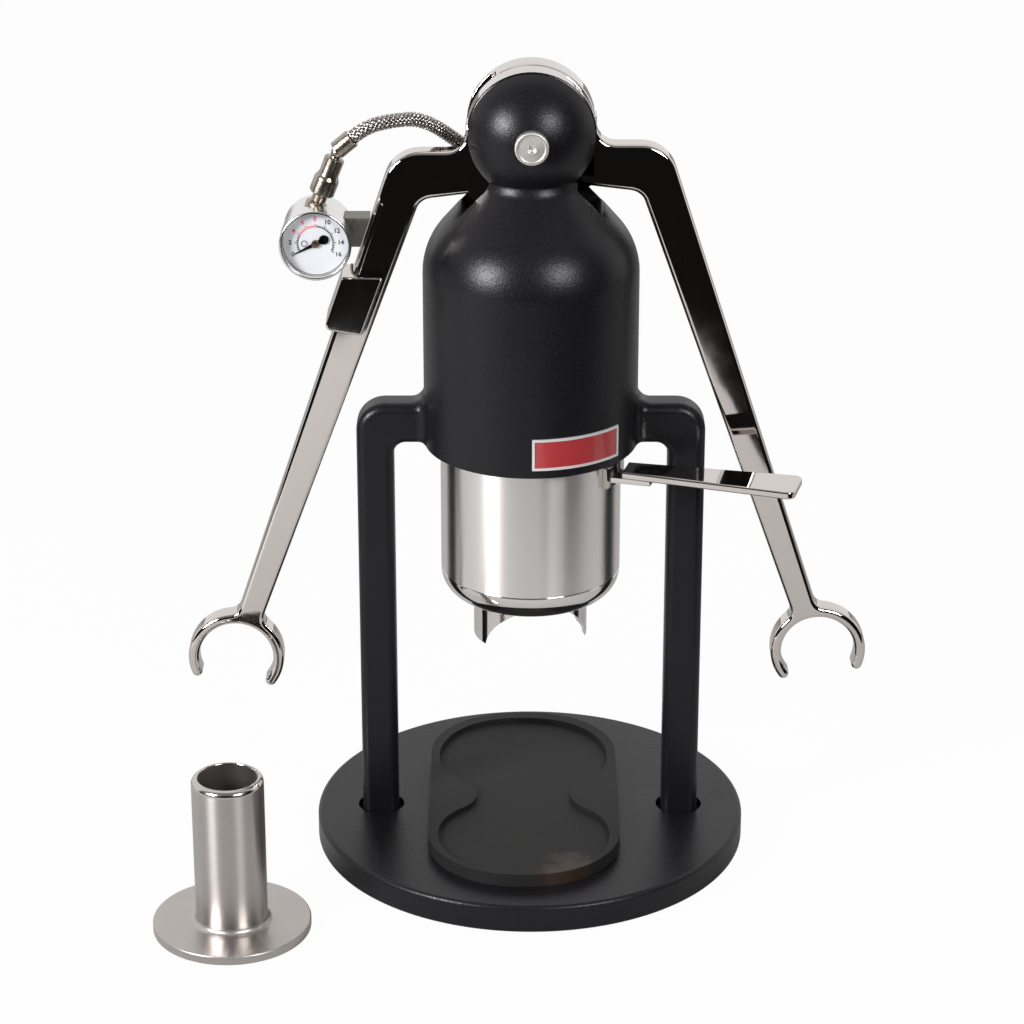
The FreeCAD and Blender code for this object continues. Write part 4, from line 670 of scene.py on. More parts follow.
def sector(corners: list[Corner], start: float, stop: float, steps: int) -> bmesh.types.BMesh:
    """Turn a closed outline through part of a circle, with its ends closed.

    Args:
        corners: The outline's corners.
        start: The angle in radians from +X at which it begins.
        stop: The angle at which it ends.
        steps: The segments of the turn.

    Returns:
        A closed bmesh.
    """
    shape = bmesh.new()
    turn = Matrix.Rotation(start, 4, "Z")
    verts = [shape.verts.new(turn @ Vector((c.radius, 0.0, c.height))) for c in corners]
    face = shape.faces.new(verts)
    bmesh.ops.spin(shape, geom=[face, *face.edges, *verts], cent=(0, 0, 0), axis=(0, 0, 1),
                   dvec=(0, 0, 0), angle=stop - start, steps=steps, use_duplicate=False)
    return mend(shape)


def raised(shape: bmesh.types.BMesh, faces: list[bmesh.types.BMFace]) -> list[bmesh.types.BMVert]:
    """Extrude some faces where they are and give the new points."""
    made = bmesh.ops.extrude_face_region(shape, geom=faces)["geom"]
    return [item for item in made if isinstance(item, bmesh.types.BMVert)]


def extruded(points: list[Vector], way: tuple[float, float, float]) -> bmesh.types.BMesh:
    """Draw a flat outline out into a closed solid.

    Args:
        points: The outline.
        way: Which way and how far it is drawn.

    Returns:
        A closed bmesh.
    """
    shape = bmesh.new()
    face = shape.faces.new([shape.verts.new(point) for point in points])
    bmesh.ops.translate(shape, verts=raised(shape, [face]), vec=way)
    return mend(shape)


def mesh_of(name: str, shape: bmesh.types.BMesh) -> bpy.types.Mesh:
    """Turn a bmesh, which is freed, into a mesh.

    Args:
        name: The mesh's name.
        shape: The bmesh.

    Returns:
        The new mesh.
    """
    mesh = bpy.data.meshes.new(name)
    shape.to_mesh(mesh)
    shape.free()
    return mesh


def shape_of(meshes: Iterable[bpy.types.Mesh]) -> bmesh.types.BMesh:
    """Gather meshes, which are removed, into one bmesh.

    Args:
        meshes: The meshes.

    Returns:
        A bmesh that holds them all.
    """
    shape = bmesh.new()
    for mesh in meshes:
        shape.from_mesh(mesh)
        bpy.data.meshes.remove(mesh)
    return shape


def link_object(name: str, data: bpy.types.ID) -> bpy.types.Object:
    """Put new data into the scene as an object.

    Args:
        name: The object's name.
        data: Its mesh, curve, text, camera or lamp.

    Returns:
        The new object.
    """
    made = bpy.data.objects.new(name, data)
    bpy.context.scene.collection.objects.link(made)
    return made


def finished_mesh(mesh: bpy.types.Mesh, finishes: list[Finish],
                  angle: float = SHARP_ANGLE) -> None:
    """Smooth a mesh but for its sharp edges and give it its materials.

    Args:
        mesh: The mesh.
        finishes: The finish of each material index.
        angle: The angle past which an edge is sharp.
    """
    if mesh.materials:
        mesh.materials.clear()
    for finish in finishes:
        mesh.materials.append(finish.material())
    mesh.shade_smooth()
    mesh.set_sharp_from_angle(angle=angle)


def weigh_normals(piece: bpy.types.Object) -> None:
    """Let large flat faces keep flat shading beside their rounded edges.

    Args:
        piece: The piece's object.
    """
    weighted = piece.modifiers.new("flat_faces", "WEIGHTED_NORMAL")
    weighted.keep_sharp = True
    weighted.weight = FLAT_SHARE


def soften(piece: bpy.types.Object, width: float) -> None:
    """Round a piece's sharp edges with a bevel.

    Args:
        piece: The piece's object.
        width: The width of the bevel.
    """
    bevel = piece.modifiers.new("soft_edges", "BEVEL")
    bevel.width = width
    bevel.segments = 2
    bevel.limit_method = "ANGLE"
    bevel.angle_limit = BEVEL_ANGLE


def make_piece(name: str, shape: bmesh.types.BMesh, finishes: list[Finish], body: str,
               nodes: Iterable[str] = (),
               edge: float = 0.0) -> bpy.types.Object:
    """Turn a bmesh into a piece that rides on a body.

    Args:
        name: The piece's name.
        shape: The bmesh, which is freed.
        finishes: The finish of each material index.
        body: The body that it moves with.
        nodes: The CAD nodes that it stands for.
        edge: The bevel of its sharp edges.

    Returns:
        The new object.
    """
    mesh = mesh_of(name, shape)
    finished_mesh(mesh, finishes)
    piece = link_object(name, mesh)
    if edge:
        soften(piece, edge)
    weigh_normals(piece)
    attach(piece, body)
    if nodes:
        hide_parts(*nodes)
    log.info("%s: %d faces", name, len(mesh.polygons))
    return piece


def node_body(node: str) -> str:
    """Find the body that a CAD node rides on."""
    bodies = frame["record"]["behaviour"]["bodies"]
    return next(body for body, members in bodies.items() if node in members)


def merged_copy(node: str) -> bmesh.types.BMesh:
    """Copy a CAD node's mesh with its loose triangles joined.

    Args:
        node: The CAD node's name.

    Returns:
        A bmesh.
    """
    shape = bmesh.new()
    shape.from_mesh(frame["nodes"][node].data)
    bmesh.ops.remove_doubles(shape, verts=shape.verts, dist=MERGE)
    bmesh.ops.dissolve_degenerate(shape, edges=shape.edges, dist=MERGE / 10)
    return shape


def trimmed(node: str, plane: Vector, outwards: Vector) -> bmesh.types.BMesh:
    """Copy a CAD node's mesh up to a plane and close the cut.

    Args:
        node: The CAD node's name.
        plane: A point of the plane.
        outwards: The plane's normal, towards what is cut away.

    Returns:
        A closed bmesh.
    """
    shape = merged_copy(node)
    everything = shape.verts[:] + shape.edges[:] + shape.faces[:]
    bmesh.ops.bisect_plane(shape, geom=everything, dist=MERGE, plane_co=plane, plane_no=outwards,
                           clear_outer=True)
    bmesh.ops.holes_fill(shape, edges=shape.edges[:], sides=0)
    return mend(shape)


def stand_in(name: str, node: str, shape: bmesh.types.BMesh, *finishes: Finish,
             edge: float = 0.0) -> bpy.types.Object:
    """Turn a bmesh into the piece for a CAD node, with the node's body and slot.

    Args:
        name: The piece's name.
        node: The CAD node's name.
        shape: The bmesh, which is freed.
        finishes: The finish of each material index, or none for that of the slot.
        edge: The bevel of its sharp edges.

    Returns:
        The new object.
    """
    slots = {part["node"]: part["material_slot"] for part in frame["record"]["subparts"]}
    chosen = list(finishes) or [FINISHES[slots[node]]]
    return make_piece(name, shape, chosen, node_body(node), [node], edge)


def dress_node(node: str, *finishes: Finish, edge: float = 0.0) -> None:
    """Stand a smooth copy in for a CAD node.

    Args:
        node: The CAD node's name.
        finishes: Its finish, or none for that of the slot.
        edge: The bevel of its sharp edges.
    """
    mesh = stand_in(node + "_skin", node, merged_copy(node), *finishes, edge=edge).data
    normals = mesh.attributes.get("custom_normal")
    if normals is not None:
        mesh.attributes.remove(normals)


def joined(shapes: list[bmesh.types.BMesh]) -> bmesh.types.BMesh:
    """Gather several bmeshes into one."""
    return shape_of([mesh_of("passing", shape) for shape in shapes])


def evaluated_mesh(source: bpy.types.Object) -> bpy.types.Mesh:
    """Give an object's final mesh and take the object out of the scene.

    Args:
        source: The object, which is removed.

    Returns:
        The mesh with all modifiers applied.
    """
    graph = bpy.context.evaluated_depsgraph_get()
    mesh = bpy.data.meshes.new_from_object(source.evaluated_get(graph))
    data = source.data
    bpy.data.objects.remove(source)
    if isinstance(data, bpy.types.Curve):
        bpy.data.curves.remove(data)
    return mesh


def drawn(curve: bpy.types.Curve) -> bmesh.types.BMesh:
    """Give the final shape of a curve or a text, which is removed."""
    return shape_of([evaluated_mesh(link_object("passing", curve))])


def line_curve(kind: str, lines: Iterable[Iterable[Iterable[float]]],
               smoothness: int = 12) -> bpy.types.Curve:
    """Lay lines through points as a curve in space.

    Args:
        kind: NURBS for a smooth line, POLY for a straight one from point to point.
        lines: The points of each line.
        smoothness: How many steps a smooth line gets from point to point.

    Returns:
        The curve's data.
    """
    curve = bpy.data.curves.new("passing", "CURVE")
    curve.dimensions = "3D"
    for route in lines:
        spline = curve.splines.new(kind)
        spline.points.add(len(route) - 1)
        for point, place in zip(spline.points, route):
            point.co = (*place, 1.0)
        spline.order_u = 3
        spline.use_endpoint_u = True
        spline.resolution_u = smoothness
        spline.use_smooth = True
    return curve


def carved(shape: bmesh.types.BMesh, tool: bmesh.types.BMesh) -> bmesh.types.BMesh:
    """Cut one closed bmesh with another and give the rest.

    Args:
        shape: The body, which is freed.
        tool: The cutter, which is freed.

    Returns:
        The body without what the cutter covers.
    """
    body, cutter = (link_object(name, mesh_of(name, part))
                    for name, part in (("passing_body", shape), ("passing_cutter", tool)))
    cut = body.modifiers.new("cut", "BOOLEAN")
    cut.object = cutter
    cut.solver = "EXACT"
    bpy.context.view_layer.update()
    whole = shape_of([evaluated_mesh(body)])
    bpy.data.objects.remove(cutter)
    return whole


# Base

@dataclass
class Base:
    """Round plate with a socket for each leg, its pad and the loose mat."""

    edge: float = 0.0016
    foot_edge: float = 0.00128
    step_edge: float = 0.0002
    socket_radius: float = 0.00857
    socket_depth: float = 0.003
    socket_round: float = 0.0004
    over: float = 0.002
    pad_gap: float = 0.0003
    pad_recess: float = 0.001
    soft_edge: float = 0.0003
    mat_edge: float = 0.0007
    mat_round: float = 0.0335
    mat_recess: float = 0.002
    recess: tuple[tuple[float, float], ...] = (
        (0.0, 0.0627), (0.0130, 0.0605), (0.0231, 0.0540), (0.0300, 0.0430), (0.0323, 0.0290),
        (0.0300, 0.0180), (0.0245, 0.0105), (0.0195, 0.0050), (0.0176, -0.0020), (0.0200, -0.0100),
        (0.0260, -0.0165), (0.0300, -0.0235), (0.0316, -0.0340), (0.0290, -0.0460),
        (0.0222, -0.0550), (0.0125, -0.0610), (0.0, -0.0629))

    def plate(self) -> None:
        """Turn the plate and sink the sockets round the legs."""
        low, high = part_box("base_plate")
        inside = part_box("base_pad")[1].x + self.pad_gap
        radius = (high.x - low.x) / 2
        outline = rounded([
            Corner(0.0, low.z + self.pad_recess), Corner(inside, low.z + self.pad_recess),
            Corner(inside, low.z, self.step_edge), Corner(radius, low.z, self.foot_edge),
            Corner(radius, high.z, self.edge), Corner(0.0, high.z)])
        cutters = [cylinder(self.socket_radius, -self.socket_depth, self.over, 64,
                            Matrix.Translation((side * self.leg_offset(), 0.0, high.z)),
                            self.socket_round) for side in (-1, 1)]
        stand_in("base_disc", "base_plate", carved(spun(outline, 192), joined(cutters)),
                 edge=self.soft_edge)

    @staticmethod
    def leg_offset() -> float:
        """Read how far a leg stands from the middle: a bolt's right side less its half width."""
        low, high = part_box("leg_bolts")
        return high.x - (high.y - low.y) / 2

    def mat(self) -> None:
        """Mould the mat: a long plate with a waisted recess for two cups."""
        low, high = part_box("drip_mat")
        outline = [Vector((point.x, point.z, low.z)) for point in rounded([
            Corner(x, y, self.mat_round) for x, y in (
                (low.x, low.y), (high.x, low.y), (high.x, high.y), (low.x, high.y))], 24)]
        curve = bpy.data.curves.new("passing", "CURVE")
        curve.dimensions = "2D"
        curve.fill_mode = "BOTH"
        curve.extrude = self.mat_recess
        line = curve.splines.new("BEZIER")
        side = list(self.recess) + [(-x, y) for x, y in reversed(self.recess[1:-1])]
        line.bezier_points.add(len(side) - 1)
        for point, (x, y) in zip(line.bezier_points, side):
            point.co = (x + (low.x + high.x) / 2, y, 0.0)
            point.handle_left_type = point.handle_right_type = "AUTO"
        line.use_cyclic_u = True
        line.resolution_u = 9
        tool = drawn(curve)
        bmesh.ops.remove_doubles(tool, verts=tool.verts, dist=MERGE)
        mend(tool).transform(Matrix.Translation((0.0, 0.0, high.z)))
        plate = extruded(outline, (0.0, 0.0, high.z - low.z))
        stand_in("moulded_mat", "drip_mat", carved(plate, tool), MAT_RUBBER, edge=self.mat_edge)

    def build(self) -> None:
        """Make the plate, the pad and the mat."""
        self.plate()
        dress_node("base_pad", edge=self.soft_edge)
        self.mat()


# Body casting

@dataclass
class Body:
    """Casting with its pivot caps and the bare red plate on its front."""

    plate_start: float = math.radians(0.4)
    plate_stop: float = math.radians(52.2)
    plate_low: float = 0.1623
    plate_high: float = 0.1739
    plate_proud: float = 0.0006
    plate_rim: float = 0.0009
    plate_sink: float = 0.00025
    radius: float = 0.0385
    plate_back: float = 0.0004
    plate_edge: float = 0.00012
    cap_proud: float = 0.0024
    cap_rim: tuple[tuple[float, float, float], ...] = (
        (0.0, 0.0002, 0.0005), (0.0011, 0.0002, 0.0003), (0.0014, 0.0005, 0.0002))
    dimple: tuple[tuple[float, float, float], ...] = (
        (0.0015, 0.0001, 0.0002), (0.0011, 0.0010, 0.0002), (0.0, 0.0013, 0.0))
    cheek_radius: float = 0.0246
    cheek_face: float = 0.0102
    cheek_edge: float = 0.0005
    plain: tuple[str, ...] = (
        "pivot_shaft", "thrust_washers", "rod_guide_bush", "leg_bolts", "leg_bolt_washers")

    def badge(self) -> None:
        """Make the curved plate: a bright rim round a sunken red field."""
        inner, outer = self.radius - self.plate_back, self.radius + self.plate_proud
        floor = outer - self.plate_sink
        shape = sector(band(inner, outer, self.plate_low, self.plate_high),
                       -math.pi / 2 + self.plate_start, -math.pi / 2 + self.plate_stop, 40)

        def at_radius(radius: float) -> list[bmesh.types.BMFace]:
            """Give the faces whose corners all lie at one radius."""
            return [face for face in shape.faces
                    if all(abs(v.co.xy.length - radius) < MERGE for v in face.verts)]

        fronts = at_radius(outer)
        bmesh.ops.inset_region(shape, faces=fronts, thickness=self.plate_rim, depth=0.0,
                               use_boundary=True, use_even_offset=True)
        sunk = raised(shape, fronts)
        bmesh.ops.delete(shape, geom=fronts, context="FACES_ONLY")
        bmesh.ops.scale(shape, verts=sunk, vec=(floor / outer, floor / outer, 1.0))
        mend(shape)
        for face in at_radius(floor):
            face.material_index = 1
        make_piece("front_badge", shape, [BADGE_RIM, RED_ENAMEL], "frame", edge=self.plate_edge)

    def cap(self, node: str, place: Matrix) -> None:
        """Turn one pivot cap: a button with a bright rim, a domed face and a dimple.

        Args:
            node: The cap's CAD node.
            place: The matrix that puts its axis in its place.
        """
        low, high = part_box(node)
        radius = (high.x - low.x) / 2
        near = min(abs(low.y), abs(high.y))
        far = max(abs(low.y), abs(high.y)) + self.cap_proud
        outline = [Corner(0.0, near), Corner(radius, near)]
        outline += [Corner(radius - inset, far - down, size) for inset, down, size in self.cap_rim]
        outline += [Corner(away, far - down, size) for away, down, size in self.dimple]
        stand_in(node + "_button", node, spun(rounded(outline, 4), 96, place), TURNED_CAP)

    def cheek(self, place: Matrix) -> bmesh.types.BMesh:
        """Turn one half of the ball, flat towards the slot in which the arms' discs turn.

        Args:
            place: The matrix that puts its axis in its place.

        Returns:
            A closed bmesh.
        """
        reach = (self.cheek_radius ** 2 - self.cheek_face ** 2) ** 0.5
        centre, inner, edge, rim, pole = (Vector((radius, 0.0, height)) for radius, height in (
            (0.0, 0.0), (0.0, self.cheek_face), (reach - self.cheek_edge, self.cheek_face),
            (reach, self.cheek_face), (0.0, self.cheek_radius)))
        return spun([inner, edge] + swept(centre, rim, pole, 40)[1:], 96, place)

    def build(self) -> None:
        """Dress the casting and what is fixed to it."""
        pivot = Matrix.Translation((0.0, 0.0, PIVOT_HEIGHT))
        front, rear = pivot @ TO_FRONT, pivot @ TO_BACK
        dress_node("frame_casting")
        make_piece("ball_cheeks", joined([self.cheek(front), self.cheek(rear)]),
                   [FINISHES["black_powder_coat"]], "frame")
        self.badge()
        self.cap("front_pivot_cap", front)
        self.cap("rear_pivot_cap", rear)
        for node in self.plain:
            dress_node(node)


# Levers and the linkage inside

@dataclass
class Levers:
    """Arms, cranks, links and the piston."""

    plain: tuple[str, ...] = (
        "left_crank_pin", "right_crank_pin", "left_link", "right_link",
        "wrist_pin", "wrist_clips", "piston_rod", "piston_head", "piston_seal", "piston_screw")
    gap: float = 0.00015
    depth: float = 0.0088
    edge: float = 0.0016
    hub_reach: float = 0.0220
    root_top: float = 0.0064
    root_fillet: float = 0.0070
    disc_side: float = 0.0228
    root_bottom: float = 0.0236
    elbow: tuple[float, float] = (0.0480, 0.013)
    crook: tuple[float, float] = (0.0388, 0.006)
    outer_foot: tuple[float, float] = (-0.0003, 0.0152)
    inner_foot: tuple[float, float] = (-0.0090, 0.0125)
    ring_outer: float = 0.0176
    ring_inner: float = 0.0137
    long_tip: float = math.radians(53)
    short_tip: float = math.radians(21)
    web: float = 0.0034
    neck: tuple[tuple[float, float], ...] = ((0.0073, 0.0040), (0.0113, 0.0040))
    left_hand: tuple[float, float] = (0.1086, 0.1999)
    right_hand: tuple[float, float] = (0.1070, 0.2014)

    @staticmethod
    def meeting(centre: Vector, radius: float, start: Vector, stop: Vector) -> Vector:
        """Give the point where a line from outside first meets a circle.

        Args:
            centre: The circle's middle.
            radius: Its radius.
            start: Where the line begins.
            stop: Another point of the line.

        Returns:
            The point on the circle.
        """
        way = (stop - start).normalized()
        near = way.dot(centre - start)
        away = (start + way * near - centre).length
        return start + way * (near - (radius ** 2 - away ** 2) ** 0.5)

    @staticmethod
    def blend(start: Vector, middle: Vector, stop: Vector, steps: int = 6) -> list[Vector]:
        """Ease from one point to another past a corner."""
        return [start.lerp(middle, step / steps).lerp(middle.lerp(stop, step / steps), step / steps)
                for step in range(steps + 1)]

    def outline(self, reach: float, drop: float) -> list[Vector]:
        """Draw an arm outwards from the pivot: root, elbow, forearm and the open ring.

        Args:
            reach: How far out the ring's middle lies.
            drop: How far below the pivot it lies.

        Returns:
            The closed outline in the XZ plane.
        """
        ring = Vector((reach, 0.0, -drop))
        middle = (self.ring_outer + self.ring_inner) / 2
        half = (self.ring_outer - self.ring_inner) / 2

        def spot(radius: float, angle: float) -> Vector:
            """Give a point round the ring; 0 points up and positive angles outwards."""
            return ring + Vector((math.sin(angle), 0.0, math.cos(angle))) * radius

        def along(radius: float, start: float, stop: float, steps: int) -> list[Vector]:
            """Walk round the ring from one angle, which is left out, to another."""
            return [spot(radius, start + (stop - start) * step / steps)
                    for step in range(1, steps + 1)]

        def tip(angle: float, sense: float) -> list[Vector]:
            """Round the ring's end, outwards to inwards where the sense is 1.

            Args:
                angle: Where the end lies.
                sense: 1 or -1.

            Returns:
                The points of the round.
            """
            centre = spot(middle, angle)
            out = (centre - ring).normalized()
            turns = [math.pi * step / 10 for step in range(1, 11)]
            return [centre + (out * math.cos(turn) + Vector((out.z, 0.0, -out.x)) * math.sin(turn))
                    * (half * sense) for turn in turns]

        def foot(start: Vector, shift: tuple[float, float]) -> Vector:
            """Give the point where a side of the forearm meets the ring."""
            aim = ring + Vector((shift[0], 0.0, shift[1]))
            return self.meeting(ring, self.ring_outer, start, aim)

        elbow = Vector((self.elbow[0], 0.0, -self.root_top))
        crook = Vector((self.crook[0], 0.0, -self.root_bottom))
        outer, inner = foot(elbow, self.outer_foot), foot(crook, self.inner_foot)
        (low_x, low_rise), (high_x, high_z) = self.neck
        sides = rounded([
            Corner(crook.x, crook.z, self.crook[1]), Corner(low_x, crook.z + low_rise),
            Corner(high_x, high_z), Corner(self.disc_side, high_z),
            Corner(self.disc_side, elbow.z, self.root_fillet),
            Corner(elbow.x, elbow.z, self.elbow[1]),
            Corner(outer.x, outer.z), Corner(inner.x, inner.z)], 14)[:-2]
        first, last = (math.atan2((point - ring).x, (point - ring).z) for point in (outer, inner))
        share = self.web / self.ring_outer
        out_tip, in_tip = math.pi / 2 + self.short_tip, self.long_tip - math.pi
        return (sides
                + self.blend(outer + (elbow - outer).normalized() * self.web, outer,
                             spot(self.ring_outer, first + share))
                + along(self.ring_outer, first + share, out_tip, 20) + tip(out_tip, 1.0)
                + along(self.ring_inner, out_tip, in_tip, 48) + tip(in_tip, -1.0)
                + along(self.ring_outer, in_tip, last - share, 20)[:-1]
                + self.blend(spot(self.ring_outer, last - share), inner,
                             inner + (crook - inner).normalized() * self.web))

    def bar(self, points: list[Vector], place: Matrix) -> bmesh.types.BMesh:
        """Give an outline depth, with well rounded edges on both faces.

        Args:
            points: The outline in the XZ plane, at the front face.
            place: Where the bar goes.

        Returns:
            The bar, closed.
        """
        count = len(points)
        inward = []
        for at in range(count):
            way = (points[(at + 1) % count] - points[at]).normalized()
            way += (points[at] - points[at - 1]).normalized()
            inward.append(Vector((-way.z, 0.0, way.x)).normalized())
        area = sum(a.x * b.z - b.x * a.z for a, b in zip(points, points[1:] + points[:1]))
        sense = 1.0 if area > 0 else -1.0
        turns = [math.pi / 2 * step / 6 for step in range(7)]
        levels = [(self.edge * (1 - math.sin(turn)), self.edge * (1 - math.cos(turn)))
                  for turn in turns]
        levels += [(inset, self.depth - deep) for inset, deep in reversed(levels)]
        shape = bmesh.new()
        loops = []
        for inset, deep in levels:
            ring = [shape.verts.new(point + way * (sense * inset) + Vector((0.0, deep, 0.0)))
                    for point, way in zip(points, inward)]
            loops.append([shape.edges.new(pair) for pair in zip(ring, ring[1:] + ring[:1])])
        bridged(loops, shape).transform(place)
        return mend(shape)

    def arm(self, node: str, side: float, front: float, reach: float, drop: float) -> None:
        """Make one arm: the disc in the ball's slot and the bar with its ring.

        Args:
            node: The arm's CAD node.
            side: -1 for the arm to the left, 1 for the one to the right.
            front: The Y of the bar's front face.
            reach: How far out the ring's middle lies.
            drop: How far below the pivot it lies.
        """
        place = (Matrix.Translation((0.0, front, PIVOT_HEIGHT))
                 @ Matrix.Diagonal((side, 1.0, 1.0, 1.0)))
        hub = trimmed(node, Vector((side * self.hub_reach, 0.0, 0.0)), Vector((side, 0.0, 0.0)))
        stand_in(node + "_bar", node, joined([self.bar(self.outline(reach, drop), place), hub]))

    def build(self) -> None:
        """Make both arms and dress the rest of the linkage."""
        self.arm("left_arm", -1.0, -self.gap - self.depth, *self.left_hand)
        self.arm("right_arm", 1.0, self.gap, *self.right_hand)
        for node in self.plain:
            dress_node(node)


# Portafilter

@dataclass
class Portafilter:
    """Mirror cup with its spout, basket and handle."""

    radius: float = 0.0327
    wall: float = 0.0022
    floor: float = 0.0026
    belly_round: float = 0.0101
    raised: float = 0.0020
    line_width: float = 0.0003
    line_depth: float = 0.0003
    outlet: float = 0.008
    lip_round: float = 0.0006
    spout_radius: float = 0.0208
    spout_wall: float = 0.0016
    spout_tip: float = 0.0832
    spout_joint: float = 0.0998
    spout_turn: float = math.radians(11.5)
    arch_height: float = 0.08185
    arch_radius: float = 0.0187
    ears: int = 3
    ear_radius: float = 0.0356
    ear_half: float = math.radians(12)
    ear_low: float = 0.1645
    ear_high: float = 0.1675
    spout_edge: float = 0.0004
    spout_bevel: float = 0.00025
    spout_sunk: float = 0.0012
    arch_half: float = 0.03
    bracket_edge: float = 0.0003
    plain: tuple[str, ...] = ("coffee_basket", "filter_plate", "dispersion_screen", "spout_nut")

    def cup(self) -> None:
        """Turn the cup and raise its bayonet ears."""
        low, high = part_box("portafilter_cup")
        bottom, top = low.z + self.raised, high.z
        line = bottom + self.belly_round + self.line_width
        inner = self.radius - self.wall
        outline = rounded([
            Corner(self.outlet, bottom), Corner(self.radius, bottom, self.belly_round),
            Corner(self.radius, line - self.line_width),
            Corner(self.radius - self.line_depth, line),
            Corner(self.radius, line + self.line_width), Corner(self.radius, top - self.lip_round),
            Corner(self.radius - self.lip_round, top), Corner(inner, top),
            Corner(inner, bottom + self.floor, self.belly_round - self.wall),
            Corner(self.outlet, bottom + self.floor)], 24)
        shapes = [spun(outline, 192)]
        ear = band(self.radius - self.wall / 2, self.ear_radius, self.ear_low, self.ear_high)
        for at in range(self.ears):
            middle = math.pi / 2 + at * 2 * math.pi / self.ears
            shapes.append(sector(ear, middle - self.ear_half, middle + self.ear_half, 10))
        whole = joined(shapes)
        for face in whole.faces:
            face.material_index = int(face.calc_center_median().z < line)
        stand_in("polished_cup", "portafilter_cup", whole, TURNED_CUP, BRIGHT_CUP)

    def spout(self) -> None:
        """Make the wide arched spout under the cup."""
        head = trimmed("spout", Vector((0.0, 0.0, self.spout_joint)), Vector((0.0, 0.0, -1.0)))
        inside, top = self.spout_radius - self.spout_wall, self.spout_joint + self.spout_sunk
        tube = spun(rounded([
            Corner(inside, self.spout_tip),
            Corner(self.spout_radius, self.spout_tip, self.spout_edge),
            Corner(self.spout_radius, top), Corner(inside, top)]), 144)
        arch = cylinder(self.arch_radius, -self.arch_half, self.arch_half, 128,
                        Matrix.Translation((0.0, 0.0, self.arch_height))
                        @ Matrix.Rotation(self.spout_turn, 4, "Z") @ TO_FRONT)
        stand_in("arched_spout", "spout", joined([head, carved(tube, arch)]), BRIGHT_CUP,
                 edge=self.spout_bevel)

    def build(self) -> None:
        """Make the cup and dress the rest."""
        self.cup()
        for node in self.plain:
            dress_node(node)
        self.spout()
        dress_node("portafilter_handle")
        dress_node("handle_bracket", edge=self.bracket_edge)


# Gauge

